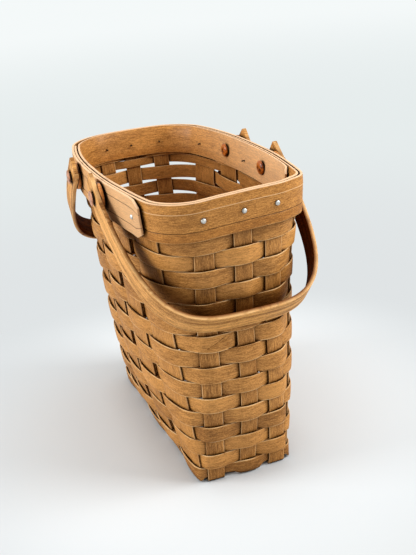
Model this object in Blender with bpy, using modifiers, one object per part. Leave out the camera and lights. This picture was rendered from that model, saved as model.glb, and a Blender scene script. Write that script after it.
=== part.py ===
"""Splint market basket with two swing handles.

A plain weave of thin wood splints: three run lengthwise and five crosswise,
crossing flat in the bottom and turning up to stand in the walls. Eighteen
weavers go round them, and the two top ones are clamped between an inner and
an outer bentwood band by cut tacks. Two bow handles swing on wooden pegs.

Metres, Z up. The long side runs along X, the origin is the middle of the
underside, and the handles hang on the basket's two ends.
"""

import math

import bmesh
import bpy
from mathutils import Vector

# The wall's middle surface, in the centre of the upright splints
BASE_LENGTH = 0.1880
BASE_WIDTH = 0.0670
BASE_CORNER = 0.0040
END_FLARE = 0.0153
SIDE_FLARE = 0.0102
TOP_CORNER = 0.0194
END_BOW = 0.0072
SIDE_BOW = 0.0153
BOW_RISE_POWER = 5.0
SIDE_BOW_POWER = 2.5

# Splints and weavers
SPLINT_THICKNESS = 0.0012
LENGTHWISE_COUNT = 3
LENGTHWISE_WIDTH = 0.0135
LENGTHWISE_ROOM = 0.00335
CROSSWISE_COUNT = 5
CROSSWISE_WIDTH = 0.0266
CROSSWISE_ROOM = 0.0029
BEND_RADIUS = 0.0018
WEAVER_COUNT = 18
RIM_ROWS = 2
WEAVER_THICKNESS = 0.0010
ROW_PITCH = 0.0118
ROW_GAP = 0.0005
LAP_CUT = 0.0040
FIT = 0.0003
WEAVE_FIT = 0.0004
EDGE_ROOM = 0.0006

# Rim bands and their laps
RIM_ABOVE_WEAVE = 0.0008
SPLINT_BELOW_RIM = 0.0006
BAND_THICKNESS = 0.0022
OUTER_BAND_HEIGHT = 0.0278
INNER_BAND_HEIGHT = 0.0243
OUTER_BAND_ROOM = 0.0004
INNER_BAND_ROOM = 0.0008
OUTER_LAP_START_FROM_CORNER = 0.0010
OUTER_LAP_END_FROM_CORNER = 0.0024
INNER_LAP_START_FROM_CORNER = 0.0010
INNER_LAP_END_FROM_CORNER = -0.0030
LAP_END_CHAMFER = 0.0040
LAP_CLIMB_SHARE = 0.6

# Pegs, spacers and caps
PEG_FROM_UPRIGHT = 0.0049
PEG_BELOW_RIM = 0.0104
PEG_DIAMETER = 0.0060
PEG_PLAY = 0.0004
PEG_HEAD_DIAMETER = 0.0108
PEG_HEAD_HEIGHT = 0.0024
SPACER_DIAMETER = 0.0200
SPACER_THICKNESS = 0.0024
CAP_DIAMETER = 0.0112
CAP_HEIGHT = 0.0036
CAP_BORE_DEPTH = 0.0022

# Swing handles
HANDLE_REACH = 0.1105
HANDLE_THICKNESS = 0.0028
HANDLE_ARM_WIDTH = 0.0168
HANDLE_BOW_WIDTH = 0.0176
HANDLE_TIP_REACH = 0.0145
HANDLE_TIP_ROUND = 0.0024
HANDLE_SQUARENESS = 3.7
HANDLE_LEAN = 0.0050
HANDLE_STRAIGHT = 0.0100
HANDLE_EDGE_ROUND = 0.0007

# Cut tacks
TACK_BELOW_RIM = 0.0097
TACK_HEAD_DIAMETER = 0.0042
TACK_HEAD_HEIGHT = 0.0011
TACK_SHANK = 0.0012
TACK_HOLE = 0.0020
TACK_POINT = 0.0008

# Outermost uprights stand their room in from the bottom's edge, the rest evenly between
LENGTHWISE_PITCH = (BASE_WIDTH - LENGTHWISE_WIDTH - 2 * LENGTHWISE_ROOM) / (LENGTHWISE_COUNT - 1)
CROSSWISE_PITCH = (BASE_LENGTH - CROSSWISE_WIDTH - 2 * CROSSWISE_ROOM) / (CROSSWISE_COUNT - 1)
PEG_X = CROSSWISE_PITCH - PEG_FROM_UPRIGHT
RIM_TOP = WEAVER_COUNT * ROW_PITCH + RIM_ABOVE_WEAVE
PEG_Z = RIM_TOP - PEG_BELOW_RIM
TACK_Z = RIM_TOP - TACK_BELOW_RIM
WEAVE_OFFSET = (SPLINT_THICKNESS + WEAVER_THICKNESS) / 2 + WEAVE_FIT
WEAVE_HALF = WEAVE_OFFSET + WEAVER_THICKNESS / 2
OUTER_BAND_OFFSET = WEAVE_HALF + OUTER_BAND_ROOM + BAND_THICKNESS / 2
INNER_BAND_OFFSET = WEAVE_HALF + INNER_BAND_ROOM + BAND_THICKNESS / 2
OUTER_FACE = OUTER_BAND_OFFSET + BAND_THICKNESS / 2
INNER_FACE = INNER_BAND_OFFSET + BAND_THICKNESS / 2
LAP_STEP = BAND_THICKNESS + FIT
LAYER = SPLINT_THICKNESS + FIT
BEND_TOP = SPLINT_THICKNESS / 2 + LAYER + BEND_RADIUS


def blend(start, end, share):
    return start + (end - start) * share


def new_collection(name):
    collection = bpy.data.collections.new(name)
    bpy.context.scene.collection.children.link(collection)
    return collection


def wood(name, colour, roughness, metallic=0.0):
    """A plain Principled material."""
    material = bpy.data.materials.new(name)
    material.use_nodes = True
    shader = material.node_tree.nodes["Principled BSDF"]
    shader.inputs["Base Color"].default_value = (*colour, 1.0)
    shader.inputs["Roughness"].default_value = roughness
    shader.inputs["Metallic"].default_value = metallic
    return material


def add_object(name, mesh, collection, material=None):
    obj = bpy.data.objects.new(name, mesh)
    collection.objects.link(obj)
    if material:
        mesh.materials.append(material)
    return obj


# The wall

def plan_size(z):
    """Half length, half width, corner radius and both bows of the wall at a height."""
    rise = min(max(z / RIM_TOP, 0.0), 1.0)
    bulge = 1.0 - (1.0 - rise) ** BOW_RISE_POWER
    half_length = BASE_LENGTH / 2 + END_FLARE * rise
    half_width = BASE_WIDTH / 2 + SIDE_FLARE * rise
    corner = blend(BASE_CORNER, TOP_CORNER, math.sqrt(rise))
    return half_length, half_width, corner, END_BOW * bulge, SIDE_BOW * bulge


def middle_point(z, face, sign, along):
    """Point of the wall's middle surface. face is "end" or "side", sign picks which of the two,
    and along runs from the face's centre, into the corner's round where it goes that far."""
    half_length, half_width, corner, end_bow, side_bow = plan_size(z)
    half_straight = (half_width if face == "end" else half_length) - corner
    into_corner = min(max(abs(along) - half_straight, 0.0), corner)
    set_back = corner - math.sqrt(corner ** 2 - into_corner ** 2)
    if face == "end":
        x, y = sign * (half_length - set_back), along
    else:
        x, y = along, sign * (half_width - set_back)
    swell_x = 1.0 + end_bow / half_length * (1.0 - (y / half_width) ** 2)
    swell_y = 1.0 + side_bow / half_width * (1.0 - abs(x / half_length) ** SIDE_BOW_POWER)
    return Vector((x * swell_x, y * swell_y, 0.0))


def wall_point(z, face, sign, along, outward=0.0):
    """Point at a distance outward from the wall's middle surface."""
    step = 0.00005
    tangent = middle_point(z, face, sign, along + step) - middle_point(z, face, sign, along - step)
    normal = Vector((tangent.y, -tangent.x, 0.0)).normalized()
    if (normal.x if face == "end" else normal.y) * sign < 0.0:
        normal.negate()
    point = middle_point(z, face, sign, along) + normal * outward
    return Vector((point.x, point.y, z))


def splint_line(z, face, sign, centre, half):
    """A flat splint's two edges at a height, the way from one to the other, and the way outward."""
    start = wall_point(z, face, sign, centre - half)
    end = wall_point(z, face, sign, centre + half)
    way = (end - start).normalized()
    normal = Vector((way.y, -way.x, 0.0))
    if (normal.x if face == "end" else normal.y) * sign < 0.0:
        normal.negate()
    return start, end, way, normal


def corner_share(z, face, along):
    """How far round its corner a point lies, from 0 at the face to 1 at the next face."""
    half_length, half_width, corner, _, _ = plan_size(z)
    half_straight = (half_width if face == "end" else half_length) - corner
    into_corner = min(max(abs(along) - half_straight, 0.0), corner)
    return math.asin(into_corner / corner) / (math.pi / 2)


def corner_point(z, side_sign, end_sign, share, outward):
    """Point on the round from a long side, at share 0, to a short end, at share 1."""
    half_length, half_width, corner, _, _ = plan_size(z)
    if share <= 0.5:
        along = half_length - corner + corner * math.sin(share * math.pi / 2)
        return wall_point(z, "side", side_sign, end_sign * along, outward)
    along = half_width - corner + corner * math.sin((1.0 - share) * math.pi / 2)
    return wall_point(z, "end", end_sign, side_sign * along, outward)


# Going round anticlockwise from above: a face, its sign, and the way that along changes
FACES = (("side", -1, 1), ("end", 1, 1), ("side", 1, -1), ("end", -1, -1))


def centred(count, pitch):
    """Evenly spaced places about zero."""
    return [(index - (count - 1) / 2) * pitch for index in range(count)]


def upright_crossings():
    """Each upright met on the way round: its face number, centre, half width and parity."""
    crossings = []
    for number, (face, _, way) in enumerate(FACES):
        if face == "side":
            centres = centred(CROSSWISE_COUNT, CROSSWISE_PITCH)
            half = CROSSWISE_WIDTH / 2
        else:
            centres = centred(LENGTHWISE_COUNT, LENGTHWISE_PITCH)
            half = LENGTHWISE_WIDTH / 2
        if way < 0:
            centres.reverse()
        crossings.extend((number, centre, half) for centre in centres)
    return [(*crossing, index % 2) for index, crossing in enumerate(crossings)]


def split_outward(points, quad):
    """Two triangles, split on the diagonal whose middle lies further from the Z axis.
    Woven strips that touch are twisted alike, and this rule makes their faces agree."""
    first, second, third, fourth = quad
    one = (points[first] + points[third]).xy.length
    other = (points[second] + points[fourth]).xy.length
    if one >= other:
        return [(first, second, third), (first, third, fourth)]
    return [(first, second, fourth), (second, third, fourth)]


def strip(name, rows, thickness, collection, material, woven=False):
    """A splint: an open surface through pairs of edge points, given its thickness by Solidify."""
    mesh = bpy.data.meshes.new(name)
    points = [point for row in rows for point in row]
    faces = []
    for row in range(len(rows) - 1):
        first = row * 2
        quad = (first, first + 1, first + 3, first + 2)
        faces.extend(split_outward(points, quad) if woven else [quad])
    mesh.from_pydata(points, [], faces)
    obj = add_object(name, mesh, collection, material)
    solidify = obj.modifiers.new("thickness", "SOLIDIFY")
    solidify.thickness = thickness
    solidify.offset = 0.0
    solidify.use_even_offset = True
    return obj


# Upright splints

def base_heights(own_number, crossing_count, starts_under):
    """Centre heights of a splint at its crossings in the bottom, under and over in turn."""
    low = SPLINT_THICKNESS / 2
    heights = []
    for index in range(crossing_count):
        under = (own_number + index) % 2 == starts_under
        heights.append(low if under else low + LAYER)
    return heights


def wall_levels():
    """Heights of an upright's points in the wall: every row low down, every second row above."""
    low_rows = WEAVER_COUNT // 3
    rows = list(range(1, low_rows)) + list(range(low_rows, WEAVER_COUNT, 2))
    return [row * ROW_PITCH for row in rows] + [RIM_TOP - SPLINT_BELOW_RIM]


def upright_rows(face, centre, half, crossed, heights, crossed_half):
    """Pairs of edge points along a splint, from one rim across the bottom to the other."""
    def wall_pair(z, sign, inset=0.0):
        start, end, _, outward = splint_line(z, face, sign, centre, half)
        return [start - outward * inset, end - outward * inset]

    def base_pair(run, z):
        places = (centre - half, centre + half)
        return [Vector((run, place, z) if face == "end" else (place, run, z)) for place in places]

    def bend(sign, leave_z):
        """The turn from the bottom up into the wall, as a quarter round."""
        pairs = []
        top_z = leave_z + BEND_RADIUS
        for step in range(4):
            turn = step / 3 * math.pi / 2
            z = top_z - BEND_RADIUS * math.cos(turn)
            inset = BEND_RADIUS * (1.0 - math.sin(turn))
            pairs.append([Vector((*point.xy, z)) for point in wall_pair(top_z, sign, inset)])
        return pairs

    levels = [z for z in wall_levels() if z > BEND_TOP + FIT]
    rows = [wall_pair(z, -1) for z in reversed(levels)]
    rows.extend(reversed(bend(-1, heights[0])))
    for place, z in zip(crossed, heights):
        reach = crossed_half + EDGE_ROOM
        rows.append(base_pair(place - reach, z))
        rows.append(base_pair(place + reach, z))
    rows.extend(bend(1, heights[-1]))
    rows.extend(wall_pair(z, 1) for z in levels)
    return rows


def make_uprights(collection, material):
    """Three lengthwise and five crosswise splints, woven flat in the bottom."""
    along_x = centred(CROSSWISE_COUNT, CROSSWISE_PITCH)
    along_y = centred(LENGTHWISE_COUNT, LENGTHWISE_PITCH)
    uprights = {}
    for number, centre in enumerate(along_y):
        heights = base_heights(number, CROSSWISE_COUNT, 0)
        rows = upright_rows("end", centre, LENGTHWISE_WIDTH / 2, along_x, heights, CROSSWISE_WIDTH / 2)
        name = f"lengthwise_splint_{number + 1}"
        uprights[name] = strip(name, rows, SPLINT_THICKNESS, collection, material, woven=True)
    for number, centre in enumerate(along_x):
        heights = base_heights(number, LENGTHWISE_COUNT, 1)
        rows = upright_rows("side", centre, CROSSWISE_WIDTH / 2, along_y, heights, LENGTHWISE_WIDTH / 2)
        name = f"crosswise_splint_{number + 1}"
        uprights[name] = strip(name, rows, SPLINT_THICKNESS, collection, material, woven=True)
    return uprights


# Weavers

def corner_columns(z, before, after, steps):
    """Points round the corner between two uprights, easing from one offset to the other.
    before and after are each a face number, along and an offset."""
    face, sign, _ = FACES[before[0]]
    next_face, next_sign, _ = FACES[after[0]]
    first = corner_share(z, face, before[1])
    last = 1.0 - corner_share(z, next_face, after[1])
    points = []
    for step in range(1, steps):
        share = blend(first, last, step / steps)
        outward = blend(before[2], after[2], step / steps)
        if face == "side":
            points.append(corner_point(z, sign, next_sign, share, outward))
        else:
            points.append(corner_point(z, next_sign, sign, 1.0 - share, outward))
    return points


def weaver_edge(z, number, lap_at, cut_back):
    """One long edge of a weaver: once round, in and out, then lapped over its own start.
    In the rim there is no room for a lap, and the two ends meet between the bands."""
    crossings = upright_crossings()
    count = len(crossings)
    lapped = number <= WEAVER_COUNT - RIM_ROWS
    points = []
    previous = None
    for step in range(count + 1):
        face_number, centre, half, parity = crossings[(lap_at + step) % count]
        face, sign, way = FACES[face_number]
        outward = WEAVE_OFFSET if (parity + number) % 2 else -WEAVE_OFFSET
        if step == count and lapped:
            outward += math.copysign(WEAVER_THICKNESS + FIT, outward)
        start, end, along, normal = splint_line(z, face, sign, centre, half)
        if way < 0:
            start, end, along = end, start, -along
        before_edge = EDGE_ROOM if step else -EDGE_ROOM
        past_edge = EDGE_ROOM if step < count else -EDGE_ROOM - cut_back
        if previous and previous[0] != face_number:
            entry = (face_number, centre - way * (half + EDGE_ROOM), outward)
            points.extend(corner_columns(z, previous, entry, 3))
        points.append(start - along * before_edge + normal * outward)
        if step == count and not lapped:
            return points
        points.append(end + along * past_edge + normal * outward)
        previous = (face_number, centre + way * (half + EDGE_ROOM), outward)
    return points


def weaver_lap(number):
    """The upright that a weaver's ends lap on: inside the wall, in turn on the four sides."""
    inner = [index for index, crossing in enumerate(upright_crossings())
             if (crossing[3] + number) % 2 == 0 and not at_corner(index)]
    return inner[(number * 3) % len(inner)]


def at_corner(index):
    crossings = upright_crossings()
    before = crossings[index - 1][0]
    after = crossings[(index + 1) % len(crossings)][0]
    return crossings[index][0] != before or crossings[index][0] != after


def make_weavers(collection, material):
    """The rows, the lowest one narrower because it starts above the splints' bend."""
    weavers = {}
    for number in range(1, WEAVER_COUNT + 1):
        low = max((number - 1) * ROW_PITCH, BEND_TOP) + ROW_GAP / 2
        high = number * ROW_PITCH - ROW_GAP / 2
        lap_at = weaver_lap(number)
        lower = weaver_edge(low, number, lap_at, LAP_CUT)
        upper = weaver_edge(high, number, lap_at, 0.0)
        rows = [[bottom, top] for bottom, top in zip(lower, upper)]
        name = f"weaver_{number:02d}"
        weavers[name] = strip(name, rows, WEAVER_THICKNESS, collection, material, woven=True)
    return weavers


# Rim bands

def band_route(start_inset, end_inset):
    """Places once round and on over the start, from the rear corner of the left side to its front one.
    Each is a face number, then along a face or the share of a corner, then how far it has climbed."""
    half_length, half_width, corner, _, _ = plan_size(RIM_TOP)
    start = corner - half_length + start_inset
    end = half_length - corner - end_inset
    corner_steps = 5
    route = []
    for step in range(len(FACES) + 1):
        number = step % len(FACES)
        face, _, way = FACES[number]
        lapped = step == len(FACES)
        half_straight = (half_length if face == "side" else half_width) - corner
        first = start if step == 0 else -way * half_straight
        last = end if lapped else way * half_straight
        pieces = 8 if face == "side" else 4
        for index in range(pieces + 1):
            route.append((number, "face", blend(first, last, index / pieces), float(lapped)))
        for index in range(1, corner_steps):
            share = index / corner_steps
            climb = min(share / LAP_CLIMB_SHARE, 1.0) if step == len(FACES) - 1 else 0.0
            if not lapped:
                route.append((number, "corner", share, climb))
    return route


def route_point(z, place, outward):
    number, kind, value, _ = place
    face, sign, _ = FACES[number]
    if kind == "face":
        return wall_point(z, face, sign, value, outward)
    next_sign = FACES[(number + 1) % len(FACES)][1]
    if face == "side":
        return corner_point(z, sign, next_sign, value, outward)
    return corner_point(z, next_sign, sign, 1.0 - value, outward)


def make_band(name, start_inset, end_inset, outward, height, collection, material):
    """A bentwood band: once round, then lapped over its own start, away from the weave.
    The outer band is lapped on the left side, the inner one is its mirror image on the right."""
    low, high = RIM_TOP - height, RIM_TOP
    side = 1.0 if outward > 0.0 else -1.0
    route = band_route(start_inset, end_inset + LAP_END_CHAMFER)
    rows = []
    for place in route:
        offset = outward + side * LAP_STEP * place[3]
        rows.append([route_point(z, place, offset) for z in (low, high)])
    tip = (0, "face", route[-1][2] + LAP_END_CHAMFER, 1.0)
    offset = outward + side * LAP_STEP
    rows.append([route_point(z, tip, offset) for z in (low + LAP_END_CHAMFER, high - LAP_END_CHAMFER)])
    for row in rows:
        for point in row:
            point.y *= side
    return strip(name, rows, BAND_THICKNESS, collection, material)


# Turned pieces, handles and tacks

def turned(name, profile, steps, collection, material, location, toward_y):
    """A profile of radius and height turned about its axis, which then points along Y."""
    mesh = bpy.data.meshes.new(name)
    points = [(radius, 0.0, height) for radius, height in profile]
    edges = [(index, index + 1) for index in range(len(points) - 1)]
    ring = profile[0][0] > 0.0
    if ring:
        edges.append((len(points) - 1, 0))
    mesh.from_pydata(points, edges, [])
    obj = add_object(name, mesh, collection, material)
    screw = obj.modifiers.new("turning", "SCREW")
    screw.steps = steps
    screw.render_steps = steps
    screw.use_merge_vertices = True
    screw.merge_threshold = 0.00001
    screw.use_normal_calculate = True
    screw.use_normal_flip = ring
    screw.use_smooth_shade = True
    obj.location = location
    obj.rotation_euler = (-toward_y * math.pi / 2, 0.0, 0.0)
    return obj


def crown(radius, height):
    """The rounded top of a peg head or cap, from its centre down to its widest line."""
    shape = ((0.0, 1.0), (0.45, 0.92), (0.80, 0.66), (1.0, 0.22))
    return [(radius * share, height * up) for share, up in shape]


def face_distance(sign, outward, x):
    """Distance from the XZ plane of a face parallel to the wall, at the pegs' height."""
    return abs(wall_point(PEG_Z, "side", sign, x, outward).y)


def arm_faces(sign):
    """Inner and outer faces of a handle arm, built out from the band by the spacer."""
    lap = LAP_STEP if sign < 0 else 0.0
    seat = face_distance(sign, OUTER_FACE + lap, PEG_X - SPACER_DIAMETER / 2) + FIT
    inner = seat + SPACER_THICKNESS + FIT
    return seat, inner, inner + HANDLE_THICKNESS


def cap_seat(sign):
    """Distance from the XZ plane at which a cap meets the inner band's inner face."""
    lap = LAP_STEP if sign > 0 else 0.0
    return face_distance(sign, -INNER_FACE - lap, PEG_X + CAP_DIAMETER / 2) - FIT


def make_peg_set(end_sign, side_sign, names, collection, materials):
    """Peg, spacer and inner cap of one handle arm."""
    seat, _, outer = arm_faces(side_sign)
    cap_face = cap_seat(side_sign)
    shank = outer + FIT - cap_face + CAP_BORE_DEPTH - FIT
    radius = PEG_DIAMETER / 2
    bore = radius + PEG_PLAY
    x = end_sign * PEG_X
    head = crown(PEG_HEAD_DIAMETER / 2, PEG_HEAD_HEIGHT) + [(PEG_HEAD_DIAMETER * 0.48, 0.0)]
    profile = head + [(radius, 0.0), (radius, -shank), (0.0, -shank)]
    turned(f"{names}_peg", profile, 12, collection, materials["peg"],
           (x, side_sign * (outer + FIT), PEG_Z), side_sign)
    ring = [(SPACER_DIAMETER / 2, SPACER_THICKNESS), (SPACER_DIAMETER / 2, 0.0),
            (bore, 0.0), (bore, SPACER_THICKNESS)]
    turned(f"{names}_spacer", ring, 24, collection, materials["peg"],
           (x, side_sign * seat, PEG_Z), side_sign)
    cap = crown(CAP_DIAMETER / 2, CAP_HEIGHT) + [(CAP_DIAMETER * 0.48, 0.0)]
    cap += [(bore, 0.0), (bore, CAP_BORE_DEPTH), (0.0, CAP_BORE_DEPTH)]
    turned(f"{names}_peg_cap", cap, 12, collection, materials["peg"],
           (x, side_sign * cap_face, PEG_Z), -side_sign)


def handle_half_width(drop):
    """Half the strip's width at a distance below its axis. Above it, the end's corners are rounded."""
    if drop >= 0.0:
        return blend(HANDLE_ARM_WIDTH, HANDLE_BOW_WIDTH, min(drop / HANDLE_REACH, 1.0)) / 2
    into_round = max(-drop - (HANDLE_TIP_REACH - HANDLE_TIP_ROUND), 0.0)
    cut_back = HANDLE_TIP_ROUND - math.sqrt(max(HANDLE_TIP_ROUND ** 2 - into_round ** 2, 0.0))
    return HANDLE_ARM_WIDTH / 2 - cut_back


def handle_rows(near_outer, far_outer):
    """Edge points of a hanging handle strip, from one end round the bow to the other. The arms
    are square to their pegs at the top, and lean towards each other below."""
    middle = (far_outer - near_outer) / 2
    half_span = (far_outer + near_outer) / 2 - HANDLE_THICKNESS / 2
    reach = HANDLE_REACH - HANDLE_THICKNESS / 2
    places = []
    tip_steps = 3
    for step in range(tip_steps):
        rounded = HANDLE_TIP_ROUND * (1.0 - math.cos(step / (tip_steps - 1) * math.pi / 2))
        places.append((-1.0, rounded - HANDLE_TIP_REACH))
    places.append((-1.0, HANDLE_STRAIGHT))
    bow_steps = 22
    for step in range(1, bow_steps):
        angle = math.pi * (step / bow_steps - 0.5)
        power = 2.0 / HANDLE_SQUARENESS
        across = math.copysign(abs(math.sin(angle)) ** power, math.sin(angle))
        places.append((across, reach * max(math.cos(angle), 0.0) ** power))
    places.extend((1.0, drop) for _, drop in reversed(places[:tip_steps + 1]))
    rows = []
    for across, drop in places:
        half = handle_half_width(drop)
        lean = HANDLE_LEAN * max(drop - HANDLE_STRAIGHT, 0.0) / (reach - HANDLE_STRAIGHT)
        y = middle + (half_span - lean) * across
        rows.append([Vector((side * half, y, -drop)) for side in (-1, 1)])
    return rows


def hanging_angle():
    """Angle from straight down at which the bow's inner edge comes to rest against the basket's end."""
    radius = HANDLE_REACH - HANDLE_THICKNESS
    half = HANDLE_BOW_WIDTH / 2
    angle = 0.0
    while angle < math.pi / 2:
        x = PEG_X + radius * math.sin(angle) - half * math.cos(angle)
        z = PEG_Z - radius * math.cos(angle) - half * math.sin(angle)
        wall = wall_point(z, "end", 1, 0.0, WEAVE_HALF + FIT).x
        if x > wall:
            return angle
        angle += math.radians(0.05)
    return angle


def make_handle(name, end_sign, collection, material, bore):
    """A bent strip with square ends, hung on its pegs and resting on the basket's end."""
    rows = handle_rows(arm_faces(-1)[2], arm_faces(1)[2])
    obj = strip(name, rows, HANDLE_THICKNESS, collection, material)
    rounding = obj.modifiers.new("rounded edges", "BEVEL")
    rounding.width = HANDLE_EDGE_ROUND
    rounding.segments = 2
    rounding.limit_method = "ANGLE"
    rounding.angle_limit = math.radians(50)
    obj.location = (end_sign * PEG_X, 0.0, PEG_Z)
    obj.rotation_euler = (0.0, -end_sign * hanging_angle(), 0.0)
    cut(obj, bore)
    return obj


def tack_places():
    """Where the tacks go: through every upright that has no peg beside it."""
    places = []
    for number, centre, half, _ in upright_crossings():
        face, sign, _ = FACES[number]
        beside_peg = face == "side" and abs(abs(centre) - PEG_X) < half
        if not beside_peg:
            places.append((face, sign, centre))
    return places


def tack_frame(face, sign, along, lap):
    """Where a tack's head sits, and the way that the tack points inward."""
    head = wall_point(TACK_Z, face, sign, along, OUTER_FACE + lap + FIT)
    foot = wall_point(TACK_Z, face, sign, along, 0.0)
    return head, (foot - head).normalized()


def tack_lap(face, sign):
    """Extra thickness under a tack's head, where the outer band is double."""
    return LAP_STEP if face == "side" and sign < 0 else 0.0


def tack_mesh(name, length, material):
    """A tack pointing along Z as one closed skin: crown, rim, underside, square shank and point."""
    mesh = bpy.data.meshes.new(name)
    mesh.materials.append(material)
    bm = bmesh.new()
    sides = 8
    radius = TACK_HEAD_DIAMETER / 2
    shank = TACK_SHANK / 2 * math.sqrt(2)

    def ring(count, size, depth):
        angles = [2 * math.pi * side / count for side in range(count)]
        return [bm.verts.new((size * math.cos(angle), size * math.sin(angle), depth)) for angle in angles]

    crown_ring = ring(sides, radius * 0.6, -TACK_HEAD_HEIGHT)
    rim = ring(sides, radius, -TACK_HEAD_HEIGHT * 0.35)
    under = ring(sides, radius * 0.94, 0.0)
    neck = ring(4, shank, 0.0)
    taper = ring(4, shank * 0.9, length - TACK_POINT)
    point = bm.verts.new((0.0, 0.0, length))
    bm.faces.new(crown_ring)
    for upper, lower in ((crown_ring, rim), (rim, under)):
        for side in range(sides):
            after = (side + 1) % sides
            bm.faces.new((upper[side], lower[side], lower[after], upper[after]))
    for side in range(4):
        after = (side + 1) % 4
        bm.faces.new((neck[side], neck[after], under[2 * after], under[2 * side + 1], under[2 * side]))
        bm.faces.new((neck[side], taper[side], taper[after], neck[after]))
        bm.faces.new((taper[side], point, taper[after]))
    bmesh.ops.recalc_face_normals(bm, faces=bm.faces[:])
    bm.to_mesh(mesh)
    bm.free()
    return mesh


def make_tacks(collection, material):
    """Low round heads on square cut shanks, which reach through to the inner band's face."""
    length = OUTER_FACE + INNER_FACE + FIT + TACK_POINT
    plain = tack_mesh("rim_tack", length, material)
    long = tack_mesh("rim_tack_through_lap", length + LAP_STEP, material)
    for number, (face, sign, along) in enumerate(tack_places(), 1):
        lap = tack_lap(face, sign)
        head, inward = tack_frame(face, sign, along, lap)
        through_lap = face == "side"
        tack = add_object(f"rim_tack_{number:02d}", long if through_lap else plain, collection)
        tack.location = head
        tack.rotation_euler = inward.to_track_quat("Z", "Y").to_euler()


# Holes

def make_peg_bore(name, end_sign, collection):
    """One cutter along a handle's axis, through both sides of the basket and both arms."""
    mesh = bpy.data.meshes.new(name)
    bm = bmesh.new()
    length = 4 * arm_faces(-1)[2]
    radius = PEG_DIAMETER / 2 + PEG_PLAY
    bmesh.ops.create_cone(bm, cap_ends=True, segments=12, radius1=radius, radius2=radius, depth=length)
    bm.to_mesh(mesh)
    bm.free()
    obj = add_object(name, mesh, collection)
    obj.location = (end_sign * PEG_X, 0.0, PEG_Z)
    obj.rotation_euler = (math.pi / 2, 0.0, 0.0)
    return as_cutter(obj)


def make_tack_holes(collection):
    """Square holes for all the tacks, as one cutter with a body for each."""
    mesh = bpy.data.meshes.new("tack_holes")
    bm = bmesh.new()
    for face, sign, along in tack_places():
        head, inward = tack_frame(face, sign, along, tack_lap(face, sign))
        length = 4 * OUTER_FACE
        turn = inward.to_track_quat("Z", "Y").to_matrix().to_4x4()
        turn.translation = head + inward * (length / 2 - FIT - BAND_THICKNESS / 2)
        radius = TACK_HOLE / 2 * math.sqrt(2)
        bmesh.ops.create_cone(bm, cap_ends=True, segments=4, radius1=radius, radius2=radius,
                              depth=length, matrix=turn)
    bm.to_mesh(mesh)
    bm.free()
    return as_cutter(add_object("tack_holes", mesh, collection))


def as_cutter(obj):
    obj.hide_render = True
    obj.display_type = "WIRE"
    return obj


def cut(obj, cutter):
    boolean = obj.modifiers.new(f"cut by {cutter.name}", "BOOLEAN")
    boolean.operation = "DIFFERENCE"
    boolean.solver = "EXACT"
    boolean.object = cutter


def main():
    for obj in list(bpy.data.objects):
        bpy.data.objects.remove(obj)
    parts = new_collection("splint_basket")
    cutters = new_collection("cutters")
    materials = {
        "splint": wood("splint wood", (0.50, 0.30, 0.14), 0.50),
        "weaver": wood("weaver wood", (0.46, 0.26, 0.12), 0.48),
        "band": wood("band wood", (0.52, 0.31, 0.14), 0.45),
        "handle": wood("handle wood", (0.55, 0.32, 0.14), 0.42),
        "peg": wood("peg wood", (0.33, 0.14, 0.05), 0.35),
        "tack": wood("tack metal", (0.70, 0.70, 0.68), 0.35, 1.0),
    }
    front_bore = make_peg_bore("front_peg_bore", 1, cutters)
    rear_bore = make_peg_bore("rear_peg_bore", -1, cutters)
    tack_holes = make_tack_holes(cutters)

    uprights = make_uprights(parts, materials["splint"])
    weavers = make_weavers(parts, materials["weaver"])
    outer_band = make_band("outer_rim_band", OUTER_LAP_START_FROM_CORNER, OUTER_LAP_END_FROM_CORNER,
                           OUTER_BAND_OFFSET, OUTER_BAND_HEIGHT, parts, materials["band"])
    inner_band = make_band("inner_rim_band", INNER_LAP_START_FROM_CORNER, INNER_LAP_END_FROM_CORNER,
                           -INNER_BAND_OFFSET, INNER_BAND_HEIGHT, parts, materials["band"])
    rim_weavers = [weavers[f"weaver_{WEAVER_COUNT - row:02d}"] for row in range(RIM_ROWS)]
    for obj in [outer_band, inner_band, *rim_weavers, *uprights.values()]:
        cut(obj, tack_holes)
        if not obj.name.startswith("lengthwise"):
            cut(obj, front_bore)
            cut(obj, rear_bore)

    make_handle("front_handle", 1, parts, materials["handle"], front_bore)
    make_handle("rear_handle", -1, parts, materials["handle"], rear_bore)
    for end_name, end_sign in (("front", 1), ("rear", -1)):
        for side_name, side_sign in (("left", -1), ("right", 1)):
            make_peg_set(end_sign, side_sign, f"{end_name}_{side_name}", parts, materials)
    make_tacks(parts, materials["tack"])


main()
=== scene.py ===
import math

import bpy
from mathutils import Matrix, Vector


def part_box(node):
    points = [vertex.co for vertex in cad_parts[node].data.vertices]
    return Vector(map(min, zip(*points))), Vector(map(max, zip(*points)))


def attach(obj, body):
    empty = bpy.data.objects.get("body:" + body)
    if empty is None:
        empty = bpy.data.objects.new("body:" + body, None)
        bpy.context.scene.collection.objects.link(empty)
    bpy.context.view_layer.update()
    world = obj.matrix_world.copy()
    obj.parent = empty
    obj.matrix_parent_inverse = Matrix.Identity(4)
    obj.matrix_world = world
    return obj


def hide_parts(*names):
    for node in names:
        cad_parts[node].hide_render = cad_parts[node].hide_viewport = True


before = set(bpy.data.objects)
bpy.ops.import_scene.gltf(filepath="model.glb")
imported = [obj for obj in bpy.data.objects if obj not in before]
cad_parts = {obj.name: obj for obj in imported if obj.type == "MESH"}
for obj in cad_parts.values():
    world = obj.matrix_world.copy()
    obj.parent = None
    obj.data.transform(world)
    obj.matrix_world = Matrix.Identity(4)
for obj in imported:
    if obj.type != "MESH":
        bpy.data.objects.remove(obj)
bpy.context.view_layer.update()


# Upright splints: flat strips split along the grain. Three run the length of the bottom and
# five cross it, over and under in turn, and each turns up at both ends and stands in the wall.

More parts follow.
